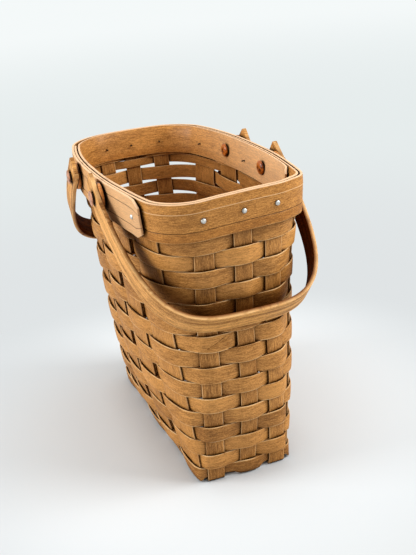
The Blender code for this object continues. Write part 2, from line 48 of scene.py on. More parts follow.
BOTTOM_LENGTH = 0.1880
BOTTOM_WIDTH = 0.0670
BOTTOM_CORNER = 0.0040
BOTTOM_Z = 0.0030
END_FLARE = 0.0153
SIDE_FLARE = 0.0102
RIM_CORNER = 0.0194
END_BOW = 0.0072
SIDE_BOW = 0.0153
BOW_RISE_POWER = 5.0
SIDE_BOW_POWER = 2.5
RIM_TOP = 0.2132
RIM_LEAN = 0.0019
RIM_LEAN_FROM = 0.1890
ROW_PITCH = 0.0118

# How far the wall has settled. A ramp is where something starts and how far on it is full.
NEAR_RIM_RAMP = (0.150, 0.045)
NEAR_FRONT_RAMP = (0.050, 0.055)
FRONT_CORNER_REACH = 0.0034
FRONT_CORNER_Y = 0.050
RIGHT_CORNER_REACH = 0.0016
RIGHT_REACH_RAMP = (-0.005, 0.050)
FRONT_RISE = 0.0017
FRONT_RISE_RAMP = (-0.030, 0.045)
RIGHT_CORNER_DROP = 0.0026
RIGHT_DROP_RAMP = (0.035, 0.025)
LEFT_CORNER_DROP = 0.0018
LEFT_DROP_RAMP = (0.010, 0.035)
BOW_REST = 0.0020
BOW_REST_Z = 0.1240
BOW_REST_SPREAD = 0.050
BOW_REST_RAMP = (0.060, 0.040)

# Each kind of strip has its own numbers in the grain pattern, from the one given here.
LENGTHWISE = {"name": "lengthwise", "count": 3, "width": 0.0122, "pitch": 0.0234,
              "wood": "splint wood", "grain": 40}
CROSSWISE = {"name": "crosswise", "count": 5, "width": 0.0266, "pitch": 0.0389,
             "wood": "side splint wood", "grain": 50}
SPLINT_THICKNESS = 0.0012
SPLINT_LAYER = 0.0015
SPLINT_BELOW_RIM = 0.0034
SPLINT_YIELD = 0.00015
SPLINT_EDGE_ROUND = 0.00022
SPLINT_ACROSS = 4
CROSSING_MARGIN = 0.0006
BEND_RADIUS = 0.0018
BEND_STEPS = 6
BEND_INSET = 0.0006
BEND_CLEARANCE = 0.0012
WALL_STEP = 0.0040
FLAT_STEP = 0.0030
END_DRIFT = {1: 0.0020, -1: -0.0012}
DRIFT_RISE = 0.060

# Going round anticlockwise from above: a face, its sign, and the way that X or Y changes on it
FACES = (("side", -1, 1), ("end", 1, 1), ("side", 1, -1), ("end", -1, -1))


def blend(start, end, share):
    return start + (end - start) * share


def smooth(share):
    share = min(max(share, 0.0), 1.0)
    return share * share * (3.0 - 2.0 * share)


def ease(value, ramp):
    """0 where a ramp starts, 1 where it is full, and smooth between."""
    start, run = ramp
    return smooth((value - start) / run)


def rim_lean(z):
    """How far the rim's layers lean outward, so that they lie close under the outer band."""
    return RIM_LEAN * min(max((z - RIM_LEAN_FROM) / (RIM_TOP - RIM_LEAN_FROM), 0.0), 1.0)


def centred(count, pitch):
    return [(index - (count - 1) / 2) * pitch for index in range(count)]


def plan_size(z):
    """Half length, half width, corner radius and both bows of the wall's middle at a height."""
    rise = min(max(z / RIM_TOP, 0.0), 1.0)
    bulge = 1.0 - (1.0 - rise) ** BOW_RISE_POWER
    half_length = BOTTOM_LENGTH / 2 + END_FLARE * rise
    half_width = BOTTOM_WIDTH / 2 + SIDE_FLARE * rise
    corner = blend(BOTTOM_CORNER, RIM_CORNER, math.sqrt(rise))
    return half_length, half_width, corner, END_BOW * bulge, SIDE_BOW * bulge


def middle_point(z, face, sign, along):
    half_length, half_width, corner, end_bow, side_bow = plan_size(z)
    half_straight = (half_width if face == "end" else half_length) - corner
    into_corner = min(max(abs(along) - half_straight, 0.0), corner)
    set_back = corner - math.sqrt(corner ** 2 - into_corner ** 2)
    if face == "end":
        x, y = sign * (half_length - set_back), along
    else:
        x, y = along, sign * (half_width - set_back)
    swell_x = 1.0 + end_bow / half_length * (1.0 - (y / half_width) ** 2)
    swell_y = 1.0 + side_bow / half_width * (1.0 - abs(x / half_length) ** SIDE_BOW_POWER)
    return x * swell_x, y * swell_y


def settle(point):
    """The real wall has settled out of true: the rim's front corners stand out and hang a
    little, its front stands higher to the right, and both ends are pressed in by the bows."""
    near_rim = ease(point.z, NEAR_RIM_RAMP) * ease(point.x, NEAR_FRONT_RAMP)
    point.x += near_rim * FRONT_CORNER_REACH * min(point.y / FRONT_CORNER_Y, 1.0) ** 2
    point.y += near_rim * RIGHT_CORNER_REACH * ease(point.y, RIGHT_REACH_RAMP)
    point.z += near_rim * FRONT_RISE * ease(point.y, FRONT_RISE_RAMP)
    point.z -= near_rim * RIGHT_CORNER_DROP * ease(point.y, RIGHT_DROP_RAMP)
    point.z -= near_rim * LEFT_CORNER_DROP * ease(-point.y, LEFT_DROP_RAMP)
    weight = smooth(1.0 - abs(point.z - BOW_REST_Z) / BOW_REST_SPREAD)
    weight *= ease(abs(point.x), BOW_REST_RAMP)
    point.x -= math.copysign(BOW_REST * weight, point.x)
    return point


def wall_point(z, face, sign, along, outward=0.0):
    """Point at a distance outward from the wall's middle surface."""
    step = 0.00005
    after = middle_point(z, face, sign, along + step)
    before = middle_point(z, face, sign, along - step)
    normal = Vector((after[1] - before[1], before[0] - after[0], 0.0)).normalized()
    if (normal.x if face == "end" else normal.y) * sign < 0.0:
        normal.negate()
    return settle(Vector((*middle_point(z, face, sign, along), z)) + normal * outward)


def arc_lengths(points):
    """Distance along a line of points, from its first."""
    lengths = [0.0]
    for before, after in zip(points, points[1:]):
        lengths.append(lengths[-1] + (after - before).length)
    return lengths


def lay_grid(name, rows, number):
    """A grid primitive laid along rows of points. Its UV map runs in metres along the grain,
    and from number to number + 1 across it."""
    columns, across = len(rows) - 1, len(rows[0]) - 1
    bpy.ops.object.select_all(action="DESELECT")
    bpy.ops.mesh.primitive_grid_add(x_subdivisions=columns, y_subdivisions=across, size=2.0)
    obj = bpy.context.object
    obj.name = name
    obj.data.name = name
    lengths = arc_lengths([row[len(row) // 2] for row in rows])
    places = []
    for vertex in obj.data.vertices:
        column = round((vertex.co.x + 1.0) / 2.0 * columns)
        step = round((vertex.co.y + 1.0) / 2.0 * across)
        places.append((column, step))
        vertex.co = rows[column][step]
    uv = obj.data.uv_layers[0]
    for loop in obj.data.loops:
        column, step = places[loop.vertex_index]
        uv.data[loop.index].uv = (lengths[column], number + step / across)
    return obj


def select_only(obj):
    bpy.ops.object.select_all(action="DESELECT")
    obj.select_set(True)
    bpy.context.view_layer.objects.active = obj


def apply_modifier(obj, kind, **settings):
    """Adds a modifier to the object with these settings, and applies it."""
    modifier = obj.modifiers.new(kind.lower(), kind)
    for setting, value in settings.items():
        setattr(modifier, setting, value)
    select_only(obj)
    bpy.ops.object.modifier_apply(modifier=modifier.name)


def thicken(obj, thickness):
    apply_modifier(obj, "SOLIDIFY", thickness=thickness, offset=0.0, use_even_offset=True)


def round_edges(obj, width, segments, angle=50.0):
    apply_modifier(obj, "BEVEL", width=width, segments=segments, limit_method="ANGLE",
                   angle_limit=math.radians(angle), miter_outer="MITER_ARC")


def smooth_faces(obj, angle):
    select_only(obj)
    bpy.ops.object.shade_smooth_by_angle(angle=math.radians(angle))


def make_strip(name, rows, number, thickness, edge_round):
    """A wood strip: a surface given its thickness, with its edges rounded over."""
    strip = lay_grid(name, rows, number)
    thicken(strip, thickness)
    round_edges(strip, edge_round, segments=2)
    smooth_faces(strip, angle=50.0)
    return strip


def feed(tree, node, inputs):
    """Sets a node's inputs to values, or links them where a socket is given."""
    for name, value in inputs.items():
        socket = node.inputs[name]
        if isinstance(value, bpy.types.NodeSocket):
            tree.links.new(value, socket)
        else:
            socket.default_value = (*value, 1.0) if socket.type == "RGBA" else value


def add_node(tree, kind, inputs=None, **settings):
    made = tree.nodes.new(kind)
    for setting, value in settings.items():
        setattr(made, setting, value)
    feed(tree, made, inputs or {})
    return made


def math_node(tree, operation, first, second=None):
    inputs = {0: first} if second is None else {0: first, 1: second}
    return add_node(tree, "ShaderNodeMath", inputs, operation=operation).outputs[0]


def plus(tree, first, second):
    return math_node(tree, "ADD", first, second)


def minus(tree, first, second):
    return math_node(tree, "SUBTRACT", first, second)


def times(tree, first, second):
    return math_node(tree, "MULTIPLY", first, second)


def mix_colours(tree, factor, first, second, blend_type="MIX"):
    made = add_node(tree, "ShaderNodeMix", {0: factor, 6: first, 7: second},
                    data_type="RGBA", blend_type=blend_type)
    return made.outputs[2]


def tinted(tree, colour, tint):
    return mix_colours(tree, 1.0, colour, tint, "MULTIPLY")


def ramp_mask(tree, value, low, high):
    """0 below low, 1 above high, and smooth between them."""
    made = add_node(tree, "ShaderNodeMapRange", {0: value, 1: low, 2: high, 3: 0.0, 4: 1.0},
                    interpolation_type="SMOOTHSTEP")
    return made.outputs[0]


def fade_mask(tree, value, low, high):
    """1 below low, 0 above high, and smooth between them."""
    return minus(tree, 1.0, ramp_mask(tree, value, low, high))


def coordinates(tree, kind):
    """The piece's own UV map or Object coordinates, whole and as three parts."""
    place = add_node(tree, "ShaderNodeTexCoord").outputs[kind]
    return place, add_node(tree, "ShaderNodeSeparateXYZ", {0: place}).outputs


def stretched_noise(tree, vector, along, across, detail, depth=1.0):
    scaled = add_node(tree, "ShaderNodeMapping",
                      {"Vector": vector, "Scale": (along, across, depth)}).outputs[0]
    settings = {"Vector": scaled, "Scale": 1.0, "Detail": detail, "Roughness": 0.6}
    return add_node(tree, "ShaderNodeTexNoise", settings).outputs[0]


def occlusion(tree, reach, samples):
    """1 in the open, and less where other faces stand within reach."""
    made = add_node(tree, "ShaderNodeAmbientOcclusion", {"Distance": reach}, samples=samples)
    return made.outputs["AO"]


def bump_normal(tree, height, strength, distance):
    made = add_node(tree, "ShaderNodeBump",
                    {"Strength": strength, "Distance": distance, "Height": height})
    return made.outputs[0]


def new_group(name, inputs, outputs):
    """A node group with these named sockets, and what its inputs give."""
    group = bpy.data.node_groups.new(name, "ShaderNodeTree")
    for in_out, sockets in (("INPUT", inputs), ("OUTPUT", outputs)):
        for socket, kind in sockets.items():
            group.interface.new_socket(socket, in_out=in_out, socket_type=f"NodeSocket{kind}")
    return group, add_node(group, "NodeGroupInput").outputs


# Noise layers of the grain: waves to a metre along and across it, and detail
GRAIN_LAYERS = {"fibres": (170.0, 2300.0, 2.0), "mottle": (900.0, 1500.0, 2.0),
                "streaks": (11.0, 330.0, 2.0), "clouds": (50.0, 120.0, 1.0),
                "specks": (240.0, 2100.0, 1.0)}
FIBRE_STRENGTH = 1.7
MOTTLE_STRENGTH = 1.3
CLOUD_STRENGTH = 0.5
STRIP_SHIFT = 0.317
PORE_RANGE = (0.58, 0.72)
PORE_TINT = (0.42, 0.36, 0.30)
PORE_DEPTH = 0.5
TONE_RANGE = (-0.2, 1.2)
EDGE_WEAR_AND_HIGHLIGHT_RANGE = (0.0001, 0.0006)
EDGE_WEAR_AND_HIGHLIGHT_CLOUDS = (0.30, 0.60)
SMOOTH_WOOD = 0.36
ROUGH_STREAKS = 0.20


def make_grain_group():
    """Split wood: fibres, streaks and dark pores along the strip, a tone of its own for each
    strip, and paler edges, partly wear and partly a painted highlight. It reads the strip's UV
    map."""
    group, given = new_group(
        "split_wood_grain",
        {"Width": "Float", "Light": "Color", "Dark": "Color", "Edge": "Color", "Pores": "Float",
         "Streaks": "Float", "Tone Spread": "Float"},
        {"Color": "Color", "Roughness": "Float", "Height": "Float"})
    _, parts = coordinates(group, "UV")
    number = math_node(group, "FLOOR", parts[1])
    across = math_node(group, "FRACT", parts[1])
    strip_shift = times(group, number, STRIP_SHIFT)
    place = add_node(group, "ShaderNodeCombineXYZ", {
        0: plus(group, parts[0], strip_shift), 1: times(group, across, given["Width"]),
        2: strip_shift}).outputs[0]
    fibres, mottle, streaks, clouds, specks = (
        stretched_noise(group, place, *scales) for scales in GRAIN_LAYERS.values())
    pores = ramp_mask(group, specks, *PORE_RANGE)
    tone = add_node(group, "ShaderNodeTexWhiteNoise", {"W": number},
                    noise_dimensions="1D").outputs["Value"]
    lightness = 0.5
    for layer, strength in ((tone, given["Tone Spread"]), (fibres, FIBRE_STRENGTH),
                            (mottle, MOTTLE_STRENGTH), (streaks, given["Streaks"]),
                            (clouds, CLOUD_STRENGTH)):
        lightness = plus(group, lightness, times(group, minus(group, layer, 0.5), strength))
    lightness = ramp_mask(group, lightness, *TONE_RANGE)
    colour = mix_colours(group, lightness, given["Dark"], given["Light"])
    deep = tinted(group, given["Dark"], PORE_TINT)
    colour = mix_colours(group, times(group, pores, given["Pores"]), colour, deep)
    # Paler edges along both sides of the strip: partly wear, partly a painted highlight.
    from_middle = math_node(group, "ABSOLUTE", minus(group, across, 0.5))
    to_edge = times(group, minus(group, 0.5, from_middle), given["Width"])
    edge = times(group, fade_mask(group, to_edge, *EDGE_WEAR_AND_HIGHLIGHT_RANGE),
                 ramp_mask(group, clouds, *EDGE_WEAR_AND_HIGHLIGHT_CLOUDS))
    add_node(group, "NodeGroupOutput", {
        "Color": mix_colours(group, edge, colour, given["Edge"]),
        "Roughness": plus(group, SMOOTH_WOOD, times(group, streaks, ROUGH_STREAKS)),
        "Height": minus(group, fibres, times(group, pores, PORE_DEPTH))})
    return group


grain_group = make_grain_group()

# Painted shade from ambient occlusion: near black in crevices, browner where neighbours shelter a
# piece.
CREVICE_REACH = 0.004
CREVICE_RANGE = (0.18, 0.96)
CREVICE_SHADE_COLOUR = (0.016, 0.005, 0.001)
SHELTER_REACH = 0.060
SHELTER_RANGE = (0.12, 0.92)
SHELTER_SHADE_TINT = (0.28, 0.17, 0.07)
NEAR_FLOOR_RANGE = (0.0, 0.07)
NEAR_FLOOR_SHELTER = 0.3
SHADE_SAMPLES = 6


def make_painted_shade_group():
    """Painted shade: near black in the crevices, and browner where the piece is sheltered by its
    neighbours. Near the floor it is less, since the floor is no shelter."""
    group, given = new_group("painted_crevice_shade", {"Color": "Color", "Shelter": "Float"},
                             {"Color": "Color", "Unshaded": "Float"})
    crevice = occlusion(group, CREVICE_REACH, SHADE_SAMPLES)
    shelter = occlusion(group, SHELTER_REACH, SHADE_SAMPLES)
    shelter_shaded = tinted(group, given["Color"], SHELTER_SHADE_TINT)
    hidden = fade_mask(group, shelter, *SHELTER_RANGE)
    _, parts = coordinates(group, "Object")
    off_floor = ramp_mask(group, parts[2], *NEAR_FLOOR_RANGE)
    hidden = times(group, hidden, math_node(group, "MAXIMUM", off_floor, NEAR_FLOOR_SHELTER))
    colour = mix_colours(group, times(group, hidden, given["Shelter"]), given["Color"], shelter_shaded)
    packed = fade_mask(group, crevice, *CREVICE_RANGE)
    add_node(group, "NodeGroupOutput", {
        "Color": mix_colours(group, packed, colour, CREVICE_SHADE_COLOUR),
        "Unshaded": minus(group, 1.0, math_node(group, "MAXIMUM", hidden, packed))})
    return group


painted_shade_group = make_painted_shade_group()


def painted(material):
    """A material's node tree, its shader, and the socket that gives its colour so far."""
    tree = material.node_tree
    shader = tree.nodes["Principled BSDF"]
    return tree, shader, shader.inputs["Base Color"].links[0].from_socket


def add_painted_shade(material, shelter):
    """Puts the painted shade over whatever colour a material has, and dulls its varnish there."""
    tree, shader, plain = painted(material)
    painted_shade = add_node(tree, "ShaderNodeGroup", {"Color": plain, "Shelter": shelter},
                     node_tree=painted_shade_group).outputs
    feed(tree, shader, {"Base Color": painted_shade["Color"]})
    coat = shader.inputs["Coat Weight"].default_value
    if coat > 0.0:
        feed(tree, shader, {"Coat Weight": times(tree, painted_shade["Unshaded"], coat)})


def new_material(name):
    """A material, its node tree and its shader."""
    material = bpy.data.materials.new(name)
    material.use_nodes = True
    return material, material.node_tree, material.node_tree.nodes["Principled BSDF"]


def wood_material(name, width, light, dark, edge, streaks, tones, pores=0.4, relief=0.45):
    """A wood finish on the shared grain, with its own colours, width and strength of grain."""
    material, tree, shader = new_material(name)
    grain = add_node(tree, "ShaderNodeGroup", {
        "Width": width, "Light": light, "Dark": dark, "Edge": edge, "Pores": pores,
        "Streaks": streaks, "Tone Spread": tones}, node_tree=grain_group).outputs
    feed(tree, shader, {
        "Base Color": grain["Color"], "Roughness": grain["Roughness"],
        "Normal": bump_normal(tree, grain["Height"], relief, distance=0.0002),
        "Specular IOR Level": 0.0, "Coat Weight": 0.35, "Coat Roughness": 0.40})
    return material


def dress(obj, material, body, slot, *nodes):
    """Gives a finished piece its material and its place among the CAD bodies and nodes."""
    obj.data.materials.clear()
    obj.data.materials.append(material)
    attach(obj, body)
    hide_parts(*nodes)


def layer_height(low):
    """Height of a splint's middle in the bottom, where it is low or lies over another."""
    return SPLINT_THICKNESS / 2 + (0.0 if low else SPLINT_LAYER)


def bottom_height(place, crossings, lows):
    """Height of a splint in the bottom, easing from each crossing to the next."""
    heights = [layer_height(low) for low in lows]
    if place <= crossings[0][1]:
        return heights[0]
    for index in range(len(crossings) - 1):
        leave, reach = crossings[index][1], crossings[index + 1][0]
        if place <= leave:
            return heights[index]
        if place < reach:
            return blend(heights[index], heights[index + 1],
                         smooth((place - leave) / (reach - leave)))
    return heights[-1]


def upright_rows(face, centre, kind, crossed, lows, first_row_side):
    """Cross sections along an upright, from one rim down the wall, over the bottom and up."""
    across = [centre + kind["width"] * (step / SPLINT_ACROSS - 0.5)
              for step in range(SPLINT_ACROSS + 1)]
    drift = END_DRIFT if face == "end" and centre == 0.0 else {1: 0.0, -1: 0.0}
    crossings = [(place - crossed["width"] / 2 - CROSSING_MARGIN,
                  place + crossed["width"] / 2 + CROSSING_MARGIN)
                 for place in centred(crossed["count"], crossed["pitch"])]

    def wall_row(sign, z):
        turn = math.pi * (z / ROW_PITCH - 0.5)
        lean = -first_row_side * SPLINT_YIELD * math.cos(turn) if z > ROW_PITCH / 2 else 0.0
        aside = drift[sign] * smooth(z / DRIFT_RISE)
        return [wall_point(z, face, sign, place + aside, lean + rim_lean(z)) for place in across]

    def bend_rows(sign, leave_z):
        rows = []
        top_z = leave_z + BEND_RADIUS
        for step in range(BEND_STEPS + 1):
            turn = step / BEND_STEPS * math.pi / 2
            inset = -BEND_RADIUS * (1.0 - math.sin(turn))
            row = [wall_point(top_z, face, sign, place, inset) for place in across]
            for point in row:
                point.z = top_z - BEND_RADIUS * math.cos(turn)
            rows.append(row)
        return rows

    wall_count = round(RIM_TOP / WALL_STEP)
    start_z = layer_height(False) + BEND_RADIUS + BEND_CLEARANCE
    levels = [blend(start_z, RIM_TOP - SPLINT_BELOW_RIM, step / wall_count)
              for step in range(wall_count + 1)]
    reach = plan_size(BOTTOM_Z)[0 if face == "end" else 1] - BEND_RADIUS - BEND_INSET
    rows = [wall_row(-1, z) for z in reversed(levels)]
    rows.extend(reversed(bend_rows(-1, layer_height(lows[0]))))
    flat_count = round(2 * reach / FLAT_STEP)
    for step in range(flat_count + 1):
        run = blend(-reach, reach, step / flat_count)
        z = bottom_height(run, crossings, lows)
        rows.append([Vector((run, place, z) if face == "end" else (place, run, z))
                     for place in across])
    rows.extend(bend_rows(1, layer_height(lows[-1])))
    rows.extend(wall_row(1, z) for z in levels)
    return rows


for face, kind, crossed, odd in (("end", LENGTHWISE, CROSSWISE, 0),
                                 ("side", CROSSWISE, LENGTHWISE, 1)):
    splint_wood = wood_material(kind["wood"], kind["width"], light=(0.66, 0.308, 0.082),
                                dark=(0.19, 0.070, 0.0125), edge=(0.76, 0.45, 0.20),
                                streaks=0.55, tones=0.35)
    add_painted_shade(splint_wood, shelter=1.0)
    for index, centre in enumerate(centred(kind["count"], kind["pitch"])):
        lows = [(index + crossing) % 2 == odd for crossing in range(crossed["count"])]
        first_row_side = 1.0 if (index + odd) % 2 else -1.0
        rows = upright_rows(face, centre, kind, crossed, lows, first_row_side)
        splint = make_strip(f"standing_{face}_splint_{index + 1}", rows, kind["grain"] + index,
                            SPLINT_THICKNESS, SPLINT_EDGE_ROUND)
        dress(splint, splint_wood, "basket", "splint_wood", f"{kind['name']}_splint_{index + 1}")


# Weavers: eighteen thin strips, one to a row, that pass outside one upright and inside the
# next. Each is bent round while damp, and its cut end lies over its own start.

WEAVER_COUNT = 18
RIM_ROWS = 2
WEAVER_THICKNESS = 0.0010
WEAVER_EDGE_ROUND = 0.00024
WEAVE_OFFSET = 0.00130
RIM_WEAVE_OFFSET = 0.00090
END_CREST = 0.00075
SIDE_CREST = 0.00085
RIM_CREST = 0.00010
CORNER_RUN = 0.018
CREST_STEPS = 8
GAP_STEPS = 7
ACROSS_STEPS = 4
ROW_GAP = 0.00045
ROW_SPREAD = 0.00035
ROW_CUP = 0.00012
LOWEST_EDGE = 0.0012
LOWEST_EDGE_INSIDE = 0.0042
IN_RIM_DROP = 0.0014
LAP_ON_TOP = 0.00108
LAP_SKIVED = 0.00030
SKIVE_RUN = 0.30
LAP_EASE = 1.0

# How far a row's ends slant and run on over each other, in uprights, and where they start
HIDDEN_LAP = {"scarf": 0.35, "over": 0.5, "scatter": 3}
SHOWN_LAP = {"scarf": 0.85, "over": 1.0, "upright": 5}
SHOWN_LAP_ROW = 10

# Waves round the row lines: their number, shift from line to line, and height
ROW_WAVES = ((3, 1.7, 0.00022), (7, 2.9, 0.00014))

# At the rear, the lines over the upper rows stand higher and daylight shows between the rows.
REAR_RAMP = (-0.02, 0.10)
REAR_RISE = {15: 0.0037, 14: 0.0027, 13: 0.0027, 12: 0.0018, 11: 0.0008}
REAR_GAPS = {15: 0.0017, 14: 0.0016, 13: 0.0013, 12: 0.0007}
OPEN_GAP = 0.0008


def half_straight(z, number):
    half_length, half_width, corner, _, _ = plan_size(z)
    return (half_length if FACES[number][0] == "side" else half_width) - corner


def face_point(z, number, forward, outward):
    """Point on a face, placed by its distance forward of the face's middle."""
    face, sign, way = FACES[number % 4]
    return wall_point(z, face, sign, way * forward, outward)


def corner_point(z, number, share, outward):
    """Point on the round from a face to the next, at a share from 0 to 1."""
    half_length, half_width, corner, _, _ = plan_size(z)
    face, sign, _ = FACES[number % 4]
    next_sign = FACES[(number + 1) % 4][1]
    side_sign, end_sign = (sign, next_sign) if face == "side" else (next_sign, sign)
    share = share if face == "side" else 1.0 - share
    if share <= 0.5:
        along = half_length - corner + corner * math.sin(share * math.pi / 2)
        return wall_point(z, "side", side_sign, end_sign * along, outward)
    along = half_width - corner + corner * math.sin((1.0 - share) * math.pi / 2)
    return wall_point(z, "end", end_sign, side_sign * along, outward)


def round_point(z, number, leave, reach, share, outward):
    """Point on the way round a corner, from an upright's edge on one face to the next upright's
    edge on the next face. Both are distances forward of their face's middle."""
    corner = plan_size(z)[2]
    first_half, next_half = half_straight(z, number), half_straight(z, (number + 1) % 4)
    straight_before = max(first_half - leave, 0.0)
    straight_after = max(next_half + reach, 0.0)
    quarter = math.pi / 2
    first_share = math.asin(min(max(leave - first_half, 0.0) / corner, 1.0)) / quarter
    last_share = 1.0 - math.asin(min(max(-reach - next_half, 0.0) / corner, 1.0)) / quarter
    arc = corner * math.pi / 2 * (last_share - first_share)
    run = share * (straight_before + arc + straight_after)
    if run < straight_before:
        return face_point(z, number, leave + run, outward)
    run -= straight_before
    if run <= arc:
        return corner_point(z, number, blend(first_share, last_share, run / arc), outward)
    return face_point(z, number + 1, reach - straight_after + run - arc, outward)


def upright_crossings():
    """Each upright on the way round: its face, distance forward, half width and parity."""
    found = []
    for number, (face, sign, _) in enumerate(FACES):
        kind = CROSSWISE if face == "side" else LENGTHWISE
        for place in centred(kind["count"], kind["pitch"]):
            aside = abs(END_DRIFT[sign]) if face == "end" and place == 0.0 else 0.0
            found.append((number, place + aside, kind["width"] / 2))
    return [(*crossing, index % 2) for index, crossing in enumerate(found)]


CROSSINGS = upright_crossings()


def weave_side(number, index):
    """1 where a row passes outside an upright, and -1 where it passes inside."""
    return 1.0 if (CROSSINGS[index % len(CROSSINGS)][3] + number) % 2 else -1.0


def crest_height(number, index):
    if number > WEAVER_COUNT - RIM_ROWS - 1:
        return RIM_CREST
    return SIDE_CREST if FACES[CROSSINGS[index % len(CROSSINGS)][0]][0] == "side" else END_CREST


def weave_place(number, travel):
    """Where a row is after so many uprights: how to find its point at a height, its distance
    outward, and how far outside it is, from -1 to 1. Half of each step is over the upright."""
    index = int(travel)
    part = travel - index
    here = CROSSINGS[index % len(CROSSINGS)]
    there = CROSSINGS[(index + 1) % len(CROSSINGS)]
    side = weave_side(number, index)
    crest, next_crest = crest_height(number, index), crest_height(number, index + 1)
    offset = RIM_WEAVE_OFFSET if number > WEAVER_COUNT - RIM_ROWS else WEAVE_OFFSET
    if part <= 0.5:
        across = part * 4.0 - 1.0
        forward = here[1] + across * here[2]
        outward = side * (offset + crest * (1.0 - across ** 2))
        return (lambda z, out: face_point(z, here[0], forward, out)), outward, side
    share = (part - 0.5) * 2.0
    leave, reach = here[1] + here[2], there[1] - there[2]
    same_face = here[0] == there[0]

    def point(z, out):
        if same_face:
            return face_point(z, here[0], blend(leave, reach, share), out)
        return round_point(z, here[0], leave, reach, share, out)

    length = reach - leave if same_face else CORNER_RUN
    slope = -2.0 * crest / here[2] * length
    next_slope = -2.0 * next_crest / there[2] * length
    square, cube = share ** 2, share ** 3
    outward = (2 * cube - 3 * square + 1) * offset - (3 * square - 2 * cube) * offset
    outward += (cube - 2 * square + share) * slope + (cube - square) * next_slope
    return point, side * outward, side * math.cos(share * math.pi)


def row_line(boundary, turn, x):
    """Height of the line between two rows, a little uneven on the way round. The upper rows
    sit higher at the rear, and the two in the rim stay below its edge."""
    if boundary > WEAVER_COUNT - RIM_ROWS:
        return boundary * ROW_PITCH - IN_RIM_DROP * (boundary - WEAVER_COUNT + RIM_ROWS)
    wave = sum(math.sin(turn * 2 * math.pi * count + boundary * shift) * height
               for count, shift, height in ROW_WAVES)
    rise = REAR_RISE.get(boundary, 0.0) * ease(-x, REAR_RAMP)
    return boundary * ROW_PITCH + rise + (wave if boundary else 0.0)


def light_gap(boundary, x):
    """Room between two rows, wider near the rim at the rear, where daylight shows through."""
    return ROW_GAP + REAR_GAPS.get(boundary, 0.0) * ease(-x, REAR_RAMP)


def row_edges(number, point, turn, side):
    """Lower and upper edge heights of a row at one place. A strip is wider than its row, so it
    covers a little of its neighbours where they are on the upright's other side."""
    x = point((number - 0.5) * ROW_PITCH, 0.0).x
    over = ROW_SPREAD * side ** 2
    below, above = light_gap(number - 1, x), light_gap(number, x)
    low = row_line(number - 1, turn, x) + below / 2 - (over if below < OPEN_GAP else 0.0)
    high = row_line(number, turn, x) - above / 2 + (over if above < OPEN_GAP else 0.0)
    if number == 1:
        low = blend(LOWEST_EDGE_INSIDE, LOWEST_EDGE, smooth(side))
    return low, high


def weaver_rows(number, first, scarf, over):
    """Cross sections of a row. Its first end is cut slanting, and lies on top of its last one."""
    travels = []
    for index in range(len(CROSSINGS) + 1):
        travels.extend(index + step / CREST_STEPS * 0.5 for step in range(CREST_STEPS))
        travels.extend(index + 0.5 + step / GAP_STEPS * 0.5 for step in range(GAP_STEPS))
    travels = [travel for travel in travels if travel <= len(CROSSINGS) + over]
    rows = []
    for travel in travels:
        row = []
        for step in range(ACROSS_STEPS + 1):
            across = step / ACROSS_STEPS
            start = scarf * across
            moved = start + travel * (1.0 - start) if travel < 1.0 else travel
            point, outward, side = weave_place(number, first + moved)
            low, high = row_edges(number, point, moved / len(CROSSINGS), side)
            cup = ROW_CUP * (1.0 - (2.0 * across - 1.0) ** 2) * side
            lap = LAP_ON_TOP * (1.0 - smooth(moved - LAP_EASE)) if moved < 1.0 + LAP_EASE else 0.0
            lap = min(lap, blend(LAP_SKIVED, LAP_ON_TOP, smooth((moved - start) / SKIVE_RUN)))
            on_top = lap and weave_side(number, first) == 1.0
            top = math.copysign(lap, outward) if on_top else -lap
            z = blend(low, high, across)
            row.append(point(z, outward + cup + top + rim_lean(z)))
        rows.append(row)
    return rows


def lap_start(number):
    """The upright where a row's ends lap: inside the wall, except for the one that shows."""
    if number == SHOWN_LAP_ROW:
        return SHOWN_LAP["upright"]
    faces = [crossing[0] for crossing in CROSSINGS]
    inner = [index for index, face in enumerate(faces) if weave_side(number, index) < 0
             and faces[index - 1] == face == faces[(index + 1) % len(faces)]]
    return inner[number * HIDDEN_LAP["scatter"] % len(inner)]


weaver_wood = wood_material("weaver wood", ROW_PITCH, light=(0.67, 0.313, 0.083),
                            dark=(0.19, 0.070, 0.0125), edge=(0.84, 0.55, 0.27),
                            streaks=0.5, tones=0.45)
add_painted_shade(weaver_wood, shelter=1.0)

for number in range(1, WEAVER_COUNT + 1):
    lap = SHOWN_LAP if number == SHOWN_LAP_ROW else HIDDEN_LAP
    rows = weaver_rows(number, lap_start(number), lap["scarf"], lap["over"])
    weaver = make_strip(f"woven_row_{number:02d}", rows, number, WEAVER_THICKNESS,
                        WEAVER_EDGE_ROUND)
    dress(weaver, weaver_wood, "basket", "weaver_wood", f"weaver_{number:02d}")


# Rim bands: two bent strips of thicker wood that clamp the top of the weave. Each goes round
# once and laps over its own start, the outer one on the left side and the inner on the right.

BAND_THICKNESS = 0.0017
OUTER_BAND = {"name": "outer", "offset": 0.0037, "height": 0.0256, "start": 0.0010,
              "end": 0.0024, "stand": 0.0016, "lean": 0.0, "pinch": -0.0004, "grain": 60,
              "scores": {0.26: -1.0, 0.745: 1.0}}
INNER_BAND = {"name": "inner", "offset": -0.0024, "height": 0.0222, "start": 0.0010,
              "end": 0.0070, "stand": 0.0010, "lean": 1.0, "pinch": 0.0013, "grain": 61,
              "scores": {}}
PINCH_RUN = 0.0045
LAP_STEP = 0.0019
STAND_RUN = 0.0160
LAP_CHAMFER = 0.0040
LAP_CLIMB_SHARE = 0.6
BAND_EDGE_ROUND = 0.00040
SCORE_HALF = 0.00042
SCORE_DEPTH = 0.00045
SCORE_BEAD = 0.00015
BAND_ACROSS = (0.0, 0.12, 0.40, 0.55, 0.84, 0.92, 1.0)
SIDE_PIECES = 28
END_PIECES = 12
CORNER_PIECES = 10
LAP_COLUMNS = SIDE_PIECES + 1
SHEEN_BEFORE_LAP = 6
TOP_SHARE = 0.999
MIRRORED_FACE = (2, 1, 0, 3)


